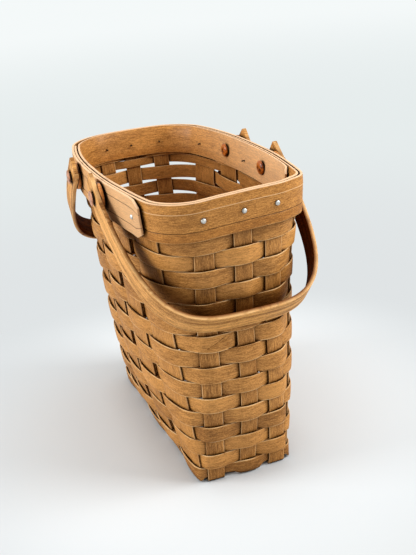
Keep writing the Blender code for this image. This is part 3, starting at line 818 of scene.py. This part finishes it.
def band_places(start_inset, end_inset):
    """Places once round and on over the start: a face number, a distance forward or a corner's
    share, and how far the lap has climbed."""
    start = -half_straight(RIM_TOP, 0) + start_inset
    end = half_straight(RIM_TOP, 0) - end_inset
    places = []
    for step in range(5):
        number = step % 4
        lapped = step == 4
        half = half_straight(RIM_TOP, number)
        first = start if step == 0 else -half
        last = end if lapped else half
        pieces = SIDE_PIECES if FACES[number][0] == "side" else END_PIECES
        places.extend((number, "face", blend(first, last, index / pieces), float(lapped))
                      for index in range(pieces + 1))
        for index in range(1, 1 if lapped else CORNER_PIECES):
            share = index / CORNER_PIECES
            climb = smooth(share / LAP_CLIMB_SHARE) if step == 3 else 0.0
            places.append((number, "corner", share, climb))
    return places


def band_rows(band, across):
    """Cross sections of a band, its lapped end cut to two chamfers."""
    side = math.copysign(1.0, band["offset"])
    places = band_places(band["start"], band["end"])
    tip = places[-1][2]
    rows = []
    for number, kind, value, climb in places:
        shorten = 0.0
        outward = band["offset"] + side * LAP_STEP * climb
        if climb == 1.0 and kind == "face":
            shorten = max(LAP_CHAMFER - (tip - value), 0.0)
            outward += side * band["stand"] * smooth(1.0 - (tip - value) / STAND_RUN)
        if side < 0.0:
            number = MIRRORED_FACE[number if kind == "face" else (number + 1) % 4]
            value = -value if kind == "face" else 1.0 - value
        find = face_point if kind == "face" else corner_point
        row = []
        for share in across:
            z = blend(RIM_TOP - band["height"] + shorten, RIM_TOP - shorten, share)
            close = band["lean"] * rim_lean(z)
            close += band["pinch"] * smooth((z - RIM_TOP + PINCH_RUN) / PINCH_RUN)
            row.append(find(z, number, value, outward + close))
        rows.append(row)
    return rows


def make_band(band):
    """A band with thin scored lines along its outer face, at these shares of its height. Each
    line is marked 1 where its edges catch the light, shown by a painted highlight, or -1 where it
    is sunk, shown by painted shade."""
    scores = band["scores"]
    across = sorted(set(BAND_ACROSS) | {score + side * SCORE_HALF / band["height"]
                                        for score in scores for side in (-1, 0, 1)})
    rows = band_rows(band, across)
    strip = lay_grid(f"bent_{band['name']}_band", rows, band["grain"])
    uv = strip.data.uv_layers[0]
    for loop in strip.data.loops:
        u, v = uv.data[loop.index].uv
        share = across[round((v - band["grain"]) * (len(across) - 1))]
        uv.data[loop.index].uv = (u, band["grain"] + TOP_SHARE * share)
    score_lines = {across.index(score): tone for score, tone in scores.items()}
    count = len(strip.data.vertices)
    thicken(strip, BAND_THICKNESS)
    in_score = strip.data.attributes.new("score", "FLOAT", "POINT")
    on_lap = strip.data.attributes.new("lap", "FLOAT", "POINT")
    vertices = strip.data.vertices
    for index in range(count):
        line, column = divmod(index, len(rows))
        into_lap = column - (len(rows) - LAP_COLUMNS)
        # How far the painted sheen on the lap has come in here.
        weight = smooth((into_lap + SHEEN_BEFORE_LAP) / LAP_COLUMNS)
        on_lap.data[index].value = on_lap.data[index + count].value = weight
        if line not in score_lines:
            continue
        pair = sorted((vertices[index], vertices[index + count]), key=lambda v: v.co.xy.length)
        outer, inner = reversed(pair) if band["offset"] > 0.0 else pair
        tone = -1.0 if into_lap >= 0 else score_lines[line]
        sink = SCORE_DEPTH if tone < 0.0 else -SCORE_BEAD
        outer.co += (inner.co - outer.co).normalized() * sink
        in_score.data[outer.index].value = tone
    round_edges(strip, BAND_EDGE_ROUND, segments=3, angle=60.0)
    smooth_faces(strip, angle=40.0)
    return strip


# Painted sheen on the band's lap, fading in towards the lap's end.
LAP_SHEEN = 0.38
LAP_SHEEN_COLOUR = (0.96, 0.64, 0.38)
# The band is darker below its lower scored line, except on the lap.
LOW_STRIP_RANGE = (0.16, 0.30)
LOW_STRIP_TINT = (0.86, 0.79, 0.68)
# Scored lines: painted shade in the sunk line, and a painted highlight on the raised one.
SHADED_LINE_RANGE = (0.15, 0.90)
SHADED_LINE_COLOUR = (0.030, 0.010, 0.003)
HIGHLIGHT_LINE_RANGE = (0.35, 1.0)
HIGHLIGHT_LINE_COLOUR = (0.84, 0.56, 0.31)
# Painted highlight along the band's top edge, which faces the light from above.
TOP_HIGHLIGHT_RANGE = (0.972, 0.990)
TOP_HIGHLIGHT = 0.85
TOP_HIGHLIGHT_COLOUR = (0.80, 0.52, 0.31)


def add_band_painted_light(material):
    """Paints a band's scored lines with shade and highlight, a sheen on its lap and a highlight
    on its top edge, and darkens the strip below its lower line."""
    tree, shader, plain = painted(material)
    score = add_node(tree, "ShaderNodeAttribute", attribute_name="score").outputs["Fac"]
    lap = add_node(tree, "ShaderNodeAttribute", attribute_name="lap").outputs["Fac"]
    _, parts = coordinates(tree, "UV")
    share = math_node(tree, "FRACT", parts[1])
    # Painted sheen on the lap.
    colour = mix_colours(tree, times(tree, lap, LAP_SHEEN), plain, LAP_SHEEN_COLOUR)
    low = times(tree, fade_mask(tree, share, *LOW_STRIP_RANGE), minus(tree, 1.0, lap))
    colour = mix_colours(tree, low, colour, tinted(tree, colour, LOW_STRIP_TINT))
    # Painted shade in the sunk scored line, then a painted highlight on the raised one.
    shaded_line = ramp_mask(tree, times(tree, score, -1.0), *SHADED_LINE_RANGE)
    colour = mix_colours(tree, shaded_line, colour, SHADED_LINE_COLOUR)
    bright = ramp_mask(tree, score, *HIGHLIGHT_LINE_RANGE)
    colour = mix_colours(tree, bright, colour, HIGHLIGHT_LINE_COLOUR)
    # Painted highlight on the top edge.
    top_highlight = times(tree, ramp_mask(tree, share, *TOP_HIGHLIGHT_RANGE), TOP_HIGHLIGHT)
    feed(tree, shader, {"Base Color": mix_colours(tree, top_highlight, colour, TOP_HIGHLIGHT_COLOUR)})


band_wood = wood_material("rim band wood", OUTER_BAND["height"], light=(0.74, 0.340, 0.084),
                          dark=(0.21, 0.076, 0.013), edge=(0.78, 0.48, 0.22),
                          streaks=0.45, tones=0.15, pores=0.45, relief=0.40)
add_band_painted_light(band_wood)
add_painted_shade(band_wood, shelter=0.5)

for band in (OUTER_BAND, INNER_BAND):
    dress(make_band(band), band_wood, "basket", "band_wood", f"{band['name']}_rim_band")


# Swing handles: two strips of steamed hardwood bent to a bow, with rounded corners at both
# ends and rounded edges. Each hangs on its own two pegs and rests on the basket's end.

PEG_X = 0.0340
PEG_Z = 0.2028
PEG_BORE_RADIUS = 0.0034
DRILL_LENGTH = 0.3
HANDLE_REACH = 0.1125
HANDLE_THICKNESS = 0.0028
HANDLE_ARM_WIDTH = 0.0168
HANDLE_BOW_WIDTH = 0.0176
HANDLE_TIP_REACH = 0.0156
HANDLE_TIP_ROUND = 0.0020
HANDLE_TIP_TURNS = (0, 22, 40, 55, 68, 80, 90)
HANDLE_SQUARENESS = 3.7
HANDLE_STRAIGHT = 0.0100
HANDLE_STRAIGHT_SHARES = (0.9, 0.6, 0.3)
HANDLE_LEAN = {"front": (0.0080, 0.0025), "rear": (0.0050, 0.0050)}
HANDLE_EDGE_ROUND = 0.0009
HANDLE_STEP = 0.0024
HANDLE_HALF_STEPS = 3
HANDLE_GRAIN = 70
BOW_POINTS = 720
HANGING_ANGLE = math.radians(49.3)
# Painted shade on the handles' inner faces, which face the wall, fading out towards the tips.
SHADE_FREE_ROWS = 12
SHADE_FADE_ROWS = 14
INNER_SHADE_RANGE = (0.10, 0.95)
INNER_SHADE_TINT = (0.26, 0.15, 0.07)


def evenly_spaced(points, spacing):
    """The same line with its points a fixed distance apart."""
    lengths = arc_lengths(points)
    count = round(lengths[-1] / spacing)
    spaced = []
    index = 0
    for step in range(count + 1):
        target = lengths[-1] * step / count
        while index < len(points) - 2 and lengths[index + 1] < target:
            index += 1
        share = (target - lengths[index]) / (lengths[index + 1] - lengths[index])
        spaced.append(points[index].lerp(points[index + 1], share))
    return spaced


def handle_half_width(drop):
    """Half the strip's width at a distance below its pegs. The end's corners are rounded."""
    if drop >= 0.0:
        return blend(HANDLE_ARM_WIDTH, HANDLE_BOW_WIDTH, min(drop / HANDLE_REACH, 1.0)) / 2
    into_round = max(-drop - (HANDLE_TIP_REACH - HANDLE_TIP_ROUND), 0.0)
    cut_back = HANDLE_TIP_ROUND - math.sqrt(max(HANDLE_TIP_ROUND ** 2 - into_round ** 2, 0.0))
    return HANDLE_ARM_WIDTH / 2 - cut_back


def handle_rows(near_outer, far_outer, end_sign, leans):
    """Cross sections of a hanging handle, from one end round the bow to the other. Its arms
    are square to their pegs at the top, and lean towards each other below."""
    middle = (far_outer - near_outer) / 2
    half_span = (far_outer + near_outer) / 2 - HANDLE_THICKNESS / 2
    reach = HANDLE_REACH - HANDLE_THICKNESS / 2
    power = 2.0 / HANDLE_SQUARENESS
    line = []
    for step in range(BOW_POINTS + 1):
        angle = math.pi * (step / BOW_POINTS - 0.5)
        across = math.copysign(abs(math.sin(angle)) ** power, math.sin(angle))
        drop = reach * max(math.cos(angle), 0.0) ** power
        share = max(drop - HANDLE_STRAIGHT, 0.0) / (reach - HANDLE_STRAIGHT)
        lean = (leans[0] * (1.0 - across) - leans[1] * (1.0 + across)) / 2 * share
        line.append(Vector((0.0, middle + half_span * across + lean, -drop)))
    bow = evenly_spaced(line, HANDLE_STEP)
    ends = [HANDLE_TIP_REACH - HANDLE_TIP_ROUND * (1.0 - math.cos(math.radians(turn)))
            for turn in HANDLE_TIP_TURNS]
    ends += [HANDLE_STRAIGHT * share for share in HANDLE_STRAIGHT_SHARES]
    line = [Vector((0.0, bow[0].y, above)) for above in ends] + bow
    line += [Vector((0.0, bow[-1].y, above)) for above in reversed(ends)]
    hang = Matrix.Translation((end_sign * PEG_X, 0.0, PEG_Z))
    hang = hang @ Matrix.Rotation(-end_sign * HANGING_ANGLE, 4, "Y")
    rows = []
    for point in line:
        half = handle_half_width(-point.z)
        rows.append([hang @ Vector((half * (step / HANDLE_HALF_STEPS - 1.0), point.y, point.z))
                     for step in range(2 * HANDLE_HALF_STEPS + 1)])
    return rows


def drill(obj, centre, toward, radius):
    """Bores a round hole through a piece, and takes the drill away again."""
    bpy.ops.object.select_all(action="DESELECT")
    bpy.ops.mesh.primitive_cylinder_add(
        vertices=32, radius=radius, depth=DRILL_LENGTH, location=centre,
        rotation=toward.to_track_quat("Z", "Y").to_euler())
    bit = bpy.context.object
    apply_modifier(obj, "BOOLEAN", operation="DIFFERENCE", solver="EXACT", object=bit)
    bpy.data.objects.remove(bit)


def make_handle(name, rows, number):
    """A handle's strip, with its inner face marked for painted shade, which fades out towards its
    tips.
    """
    strip = lay_grid(name, rows, number)
    count = len(strip.data.vertices)
    thicken(strip, HANDLE_THICKNESS)
    inner_face = strip.data.attributes.new("inner_face", "FLOAT", "POINT")
    places = [vertex.co for vertex in strip.data.vertices]
    columns = len(rows)
    first, last, bow = (rows[place][HANDLE_HALF_STEPS] for place in (0, -1, columns // 2))
    middle = (first + last + bow * 2.0) / 4.0
    for index in range(count):
        nearer = min(index, index + count, key=lambda corner: (places[corner] - middle).length)
        from_tip = min(index % columns, columns - 1 - index % columns)
        inner_face.data[nearer].value = smooth((from_tip - SHADE_FREE_ROWS) / SHADE_FADE_ROWS)
    round_edges(strip, HANDLE_EDGE_ROUND, segments=4)
    return strip


def paint_inner_face_shade(material):
    """Paints shade on a handle's wood where its inner face is marked."""
    tree, shader, plain = painted(material)
    inner = add_node(tree, "ShaderNodeAttribute", attribute_name="inner_face").outputs["Fac"]
    shaded_inner = mix_colours(tree, ramp_mask(tree, inner, *INNER_SHADE_RANGE), plain,
                          tinted(tree, plain, INNER_SHADE_TINT))
    feed(tree, shader, {"Base Color": shaded_inner})


handle_wood = wood_material("handle wood", HANDLE_ARM_WIDTH, light=(0.79, 0.395, 0.118),
                            dark=(0.22, 0.084, 0.017), edge=(0.80, 0.48, 0.20),
                            streaks=2.1, tones=0.15, pores=0.3, relief=0.40)
paint_inner_face_shade(handle_wood)
add_painted_shade(handle_wood, shelter=0.6)

for index, (end_name, end_sign) in enumerate((("front", 1), ("rear", -1))):
    low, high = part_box(f"{end_name}_handle")
    rows = handle_rows(-low.y, high.y, end_sign, HANDLE_LEAN[end_name])
    handle = make_handle(f"bent_{end_name}_handle", rows, HANDLE_GRAIN + index)
    drill(handle, (end_sign * PEG_X, 0.0, PEG_Z), Vector((0.0, 1.0, 0.0)), PEG_BORE_RADIUS)
    smooth_faces(handle, angle=40.0)
    dress(handle, handle_wood, f"{end_name}_handle", "handle_wood", f"{end_name}_handle")


# Pegs, spacers and caps: small turned hardwood parts, dark and glossy. A peg goes through the
# handle's arm, the disc that holds it off the rim, and both bands, to a pitted cap inside.

PEG_RADIUS = 0.0030
PEG_NECK_RADIUS = 0.0032
PEG_HEAD_RADIUS = 0.0054
PEG_HEAD_HEIGHT = 0.0024
PEG_HEAD_LIFT = 0.0013
PEG_SHORTFALL = 0.0002
SPACER_RADIUS = 0.0100
SPACER_BEVEL = 0.0008
SPACER_EDGE_SET_BACK = 0.0002
SPACER_EDGE_DEPTH = 0.0003
CAP_RADIUS = 0.0053
CAP_HEIGHT = 0.0023
CAP_BORE_DEPTH = 0.0012
CAP_SINK = 0.0002
TURNED_GRAIN = 80
TURN_STEPS = 40
MERGE_DISTANCE = 0.00001

# Shares of radius and height from the middle out: a domed head, and a cap with its pit
CROWN = ((0.0, 1.0), (0.25, 0.98), (0.5, 0.90), (0.72, 0.75), (0.88, 0.55), (0.97, 0.35),
         (1.0, 0.18), (0.97, 0.0))
CAP_CROWN = ((0.0, 0.70), (0.22, 0.70), (0.30, 0.96)) + CROWN[2:]

# Lathe rings and blotches: waves to a metre along X and Y, detail, and waves along Z
LATHE_RINGS = (900.0, 260.0, 3.0, 900.0)
LATHE_RING_RANGE = (0.3, 0.7)
BLOTCHES = (260.0, 260.0, 2.0, 260.0)
BLOTCH_RANGE = (0.45, 0.70)


def turn_piece(name, profile, centre, toward, number, closed=False):
    """A profile of radius and height turned about an axis, as on a lathe."""
    turn = Vector(toward).normalized().to_track_quat("Z", "Y").to_matrix()
    shape = profile + profile[:1] if closed else profile
    rows = []
    for step in range(TURN_STEPS + 1):
        angle = 2 * math.pi * step / TURN_STEPS
        row = [Vector((radius * math.cos(angle), radius * math.sin(angle), height))
               for radius, height in shape]
        rows.append([Vector(centre) + turn @ point for point in row])
    piece = lay_grid(name, rows, number)
    bpy.ops.object.mode_set(mode="EDIT")
    bpy.ops.mesh.select_all(action="SELECT")
    bpy.ops.mesh.remove_doubles(threshold=MERGE_DISTANCE)
    bpy.ops.mesh.normals_make_consistent(inside=False)
    bpy.ops.object.mode_set(mode="OBJECT")
    smooth_faces(piece, angle=40.0)
    return piece


def turned_wood(name, pale, mid, dark, coat):
    """Varnished hardwood with fine lathe rings and darker blotches."""
    material, tree, shader = new_material(name)
    coords, _ = coordinates(tree, "Object")
    grain = stretched_noise(tree, coords, *LATHE_RINGS)
    blotches = stretched_noise(tree, coords, *BLOTCHES)
    colour = mix_colours(tree, ramp_mask(tree, grain, *LATHE_RING_RANGE), mid, pale)
    colour = mix_colours(tree, ramp_mask(tree, blotches, *BLOTCH_RANGE), colour, dark)
    feed(tree, shader, {
        "Base Color": colour,
        "Normal": bump_normal(tree, grain, strength=0.35, distance=0.0003),
        "Roughness": 0.34, "Specular IOR Level": 0.2, "Coat Weight": coat,
        "Coat Roughness": 0.12})
    add_painted_shade(material, shelter=0.15)
    return material


peg_wood = turned_wood("peg wood", pale=(0.64, 0.29, 0.14), mid=(0.36, 0.130, 0.052),
                       dark=(0.09, 0.024, 0.009), coat=0.2)
spacer_wood = turned_wood("spacer wood", pale=(0.76, 0.30, 0.070), mid=(0.46, 0.150, 0.028),
                          dark=(0.18, 0.050, 0.010), coat=0.1)
cap_wood = turned_wood("cap wood", pale=(0.60, 0.17, 0.018), mid=(0.28, 0.058, 0.005),
                       dark=(0.06, 0.012, 0.002), coat=0.15)

number = TURNED_GRAIN
for end_name in ("front", "rear"):
    for side_name, side in (("left", -1), ("right", 1)):
        label = f"{end_name}_{side_name}"
        low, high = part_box(f"{label}_peg")
        x = (low.x + high.x) / 2
        seat_y = (low.y if side < 0 else high.y) - side * PEG_HEAD_HEIGHT
        inward = INNER_BAND["offset"] - BAND_THICKNESS / 2 - (LAP_STEP if side > 0 else 0.0)
        face_y = wall_point(PEG_Z, "side", side, PEG_X + CAP_RADIUS, inward).y + side * CAP_SINK
        shank = abs(seat_y - face_y) + CAP_BORE_DEPTH - PEG_SHORTFALL
        crown = PEG_HEAD_HEIGHT - PEG_HEAD_LIFT
        profile = [(PEG_HEAD_RADIUS * out, PEG_HEAD_LIFT + crown * up) for out, up in CROWN]
        profile += [(PEG_NECK_RADIUS, PEG_HEAD_LIFT), (PEG_NECK_RADIUS, 0.0)]
        profile += [(PEG_RADIUS, 0.0), (PEG_RADIUS, -shank), (0.0, -shank)]
        peg = turn_piece(f"turned_{label}_peg", profile, (x, seat_y, PEG_Z), (0, side, 0), number)
        dress(peg, peg_wood, "basket", "peg_wood", f"{label}_peg")

        low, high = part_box(f"{label}_spacer")
        thick = high.y - low.y
        near_y = high.y if side < 0 else low.y
        flat, edge = SPACER_RADIUS - SPACER_BEVEL, SPACER_RADIUS - SPACER_EDGE_SET_BACK
        profile = [(PEG_BORE_RADIUS, 0.0), (PEG_BORE_RADIUS, thick), (flat, thick),
                   (edge, thick - SPACER_EDGE_DEPTH), (SPACER_RADIUS, thick / 2),
                   (edge, SPACER_EDGE_DEPTH), (flat, 0.0)]
        spacer = turn_piece(f"turned_{label}_spacer", profile, (x, near_y, PEG_Z), (0, side, 0),
                            number + 1, closed=True)
        dress(spacer, spacer_wood, "basket", "peg_wood", f"{label}_spacer")

        profile = [(CAP_RADIUS * out, CAP_HEIGHT * up) for out, up in CAP_CROWN]
        profile += [(PEG_BORE_RADIUS, 0.0), (PEG_BORE_RADIUS, CAP_BORE_DEPTH),
                    (0.0, CAP_BORE_DEPTH)]
        cap = turn_piece(f"turned_{label}_cap", profile, (x, face_y, PEG_Z), (0, -side, 0),
                         number + 2)
        dress(cap, cap_wood, "basket", "peg_wood", f"{label}_peg_cap")
        number += 3


# Rim tacks: short cut nails with low round heads, driven through both bands at each upright
# that has no peg beside it. Their points come out on the inner band.

TACK_Z = 0.2008
OUTER_FACE = 0.0046
INNER_FACE = 0.0044
HEAD_CLEARANCE = 0.0003
TACK_HEAD_RADIUS = 0.0017
TACK_HEAD_HEIGHT = 0.0011
TACK_CROWN = ((0.0, 1.0), (0.35, 0.97), (0.65, 0.86), (0.85, 0.66), (0.96, 0.42), (1.0, 0.2),
              (0.94, 0.0))
TACK_SHANK_RADIUS = 0.0006
TACK_TAPER = 0.9
TACK_POINT = 0.0008
TACK_GRAIN = 100
METAL_WEAR = (900.0, 900.0, 3.0, 900.0)
METAL_WEAR_RANGE = (0.35, 0.65)
METAL_DULL = (0.36, 0.355, 0.33)
METAL_BRIGHT = (0.78, 0.77, 0.73)
SMOOTH_METAL = 0.28
ROUGH_WEAR = 0.3
SHANK_RANGE = (0.70, 0.72)
SHANK_COLOUR = (0.035, 0.022, 0.015)


def tack_metal():
    """Bright zinc-grey metal, scratched and a little dull, with a dark shank and point."""
    material, tree, shader = new_material("tack metal")
    coords, _ = coordinates(tree, "Object")
    wear = stretched_noise(tree, coords, *METAL_WEAR)
    colour = mix_colours(tree, ramp_mask(tree, wear, *METAL_WEAR_RANGE), METAL_DULL, METAL_BRIGHT)
    _, parts = coordinates(tree, "UV")
    shank = ramp_mask(tree, math_node(tree, "FRACT", parts[1]), *SHANK_RANGE)
    feed(tree, shader, {
        "Base Color": mix_colours(tree, shank, colour, SHANK_COLOUR),
        "Roughness": plus(tree, SMOOTH_METAL, times(tree, wear, ROUGH_WEAR)), "Metallic": 0.85,
        "Normal": bump_normal(tree, wear, strength=0.2, distance=0.0001)})
    return material


tack_steel = tack_metal()
add_painted_shade(tack_steel, shelter=0.2)
tack_number = 0
for number, forward, half, _ in CROSSINGS:
    face, sign, way = FACES[number]
    along = way * forward
    if face == "side" and abs(abs(along) - PEG_X) < half:
        continue
    tack_number += 1
    outer_lap = LAP_STEP if face == "side" and sign < 0 else 0.0
    head = wall_point(TACK_Z, face, sign, along, OUTER_FACE + outer_lap + HEAD_CLEARANCE)
    foot = wall_point(TACK_Z, face, sign, along, 0.0)
    either_lap = LAP_STEP if face == "side" else 0.0
    length = OUTER_FACE + INNER_FACE + HEAD_CLEARANCE + TACK_POINT + either_lap
    profile = [(TACK_HEAD_RADIUS * out, TACK_HEAD_HEIGHT * up) for out, up in TACK_CROWN]
    profile += [(TACK_SHANK_RADIUS, 0.0), (TACK_SHANK_RADIUS * TACK_TAPER, TACK_POINT - length),
                (0.0, -length)]
    tack = turn_piece(f"driven_tack_{tack_number:02d}", profile, head, head - foot,
                      TACK_GRAIN + tack_number)
    dress(tack, tack_steel, "basket", "tack_steel", f"rim_tack_{tack_number:02d}")


# The set: a plain pale floor, a soft light on either side and one above, and the camera where
# the photograph was taken from.

FLOOR_SIZE = 24.0
FLOOR_COLOUR = (0.67, 0.705, 0.725)
# Painted contact shade: the floor's colour darkens by occlusion close under the basket.
CONTACT_SHADE_COLOUR = (0.56, 0.58, 0.59)
CONTACT_REACH = 0.040
CONTACT_RANGE = (0.35, 0.95)
CONTACT_SAMPLES = 8
ROOM_COLOUR = (1.0, 0.985, 0.96)
ROOM_STRENGTH = 0.55
BACKDROP = (0.79, 0.84, 0.84)
NEAR_BACKDROP = (0.745, 0.775, 0.785)
FRONT_BACKDROP = (0.845, 0.862, 0.855)
FAR_BACKDROP = (0.91, 0.947, 0.947)
GLOW_RANGE = (0.12, 0.28)
BACKDROP_RANGE = (0.3, 1.0)
FAR_RANGE = (1.0, 3.6)
FRONT_RANGE = (0.10, 0.26)


def shown_rays(tree):
    """1 where the set is seen, directly or in a gloss, and 0 where it lights the basket."""
    rays = add_node(tree, "ShaderNodeLightPath").outputs
    mirrored = math_node(tree, "MAXIMUM", rays["Is Glossy Ray"], rays["Is Transmission Ray"])
    return math_node(tree, "MAXIMUM", rays["Is Camera Ray"], mirrored)


def floor_material():
    """Pale floor that keeps the basket's shadow near it, with painted contact shade close under
    the basket, and turns to the plain backdrop beyond.
    """
    material, tree, shader = new_material("pale floor")
    open_share = ramp_mask(tree, occlusion(tree, CONTACT_REACH, CONTACT_SAMPLES), *CONTACT_RANGE)
    feed(tree, shader, {
        "Base Color": mix_colours(tree, open_share, CONTACT_SHADE_COLOUR, FLOOR_COLOUR),
        "Roughness": 0.9, "Specular IOR Level": 0.1})
    coords, parts = coordinates(tree, "Object")
    far = add_node(tree, "ShaderNodeVectorMath", {0: coords}, operation="LENGTH").outputs["Value"]
    colour = mix_colours(tree, ramp_mask(tree, far, *BACKDROP_RANGE), NEAR_BACKDROP, BACKDROP)
    colour = mix_colours(tree, ramp_mask(tree, far, *FAR_RANGE), colour, FAR_BACKDROP)
    colour = mix_colours(tree, ramp_mask(tree, parts[0], *FRONT_RANGE), colour, FRONT_BACKDROP)
    glow = add_node(tree, "ShaderNodeEmission", {"Color": colour, "Strength": 1.0})
    share = times(tree, shown_rays(tree), ramp_mask(tree, far, *GLOW_RANGE))
    mixed = add_node(tree, "ShaderNodeMixShader",
                     {0: share, 1: shader.outputs[0], 2: glow.outputs[0]})
    feed(tree, tree.nodes["Material Output"], {"Surface": mixed.outputs[0]})
    return material


bpy.ops.object.select_all(action="DESELECT")
bpy.ops.mesh.primitive_plane_add(size=FLOOR_SIZE)
floor = bpy.context.object
floor.name = "pale_floor"
floor.data.materials.append(floor_material())

world = bpy.data.worlds.new("soft room")
bpy.context.scene.world = world
world.use_nodes = True
room = world.node_tree
room.nodes.clear()
room_light = add_node(room, "ShaderNodeBackground",
                      {"Color": ROOM_COLOUR, "Strength": ROOM_STRENGTH})
backdrop = add_node(room, "ShaderNodeBackground", {"Color": BACKDROP, "Strength": 1.0})
either = add_node(room, "ShaderNodeMixShader",
                  {0: shown_rays(room), 1: room_light.outputs[0], 2: backdrop.outputs[0]})
add_node(room, "ShaderNodeOutputWorld", {"Surface": either.outputs[0]})

AIM = Vector((0.0, 0.0, 0.11))

# Soft lights: azimuth from +X towards +Y and elevation in degrees, distance, size and power
SOFT_LIGHTS = (("left softbox", -102, 21, 1.3, 0.6, 12.2),
               ("right softbox", 60, 38, 1.3, 0.7, 15.6),
               ("overhead softbox", -150, 76, 1.4, 1.1, 5.0))

for name, azimuth, elevation, distance, size, power in SOFT_LIGHTS:
    azimuth, elevation = math.radians(azimuth), math.radians(elevation)
    way = Vector((math.cos(azimuth) * math.cos(elevation),
                  math.sin(azimuth) * math.cos(elevation), math.sin(elevation)))
    bpy.ops.object.select_all(action="DESELECT")
    bpy.ops.object.light_add(type="AREA", location=AIM + way * distance)
    lamp = bpy.context.object
    lamp.name = name
    lamp.rotation_euler = way.to_track_quat("Z", "Y").to_euler()
    lamp.data.shape = "SQUARE"
    lamp.data.size = size
    lamp.data.energy = power

CAMERA_AZIMUTH = 1.2349
CAMERA_ELEVATION = 0.3707
CAMERA_ROLL = -0.0915
CAMERA_PLACE = (0.6007, -0.1929, 0.3619)
FOCAL_PIXELS = 884.2
PHOTO_WIDTH = 416
SENSOR = 36.0

back = Vector((math.sin(CAMERA_AZIMUTH) * math.cos(CAMERA_ELEVATION),
               -math.cos(CAMERA_AZIMUTH) * math.cos(CAMERA_ELEVATION),
               math.sin(CAMERA_ELEVATION)))
level_right = (-back).cross(Vector((0.0, 0.0, 1.0))).normalized()
level_up = level_right.cross(-back)
right = math.cos(CAMERA_ROLL) * level_right + math.sin(CAMERA_ROLL) * level_up
up = -math.sin(CAMERA_ROLL) * level_right + math.cos(CAMERA_ROLL) * level_up
facing = Matrix((right, up, back)).transposed().to_4x4()
bpy.ops.object.select_all(action="DESELECT")
bpy.ops.object.camera_add()
camera = bpy.context.object
camera.matrix_world = Matrix.Translation(CAMERA_PLACE) @ facing
camera.data.sensor_fit = "HORIZONTAL"
camera.data.sensor_width = SENSOR
camera.data.lens = FOCAL_PIXELS / PHOTO_WIDTH * SENSOR
camera.data.clip_start = 0.01
bpy.context.scene.camera = camera
bpy.context.scene.view_settings.view_transform = "Standard"
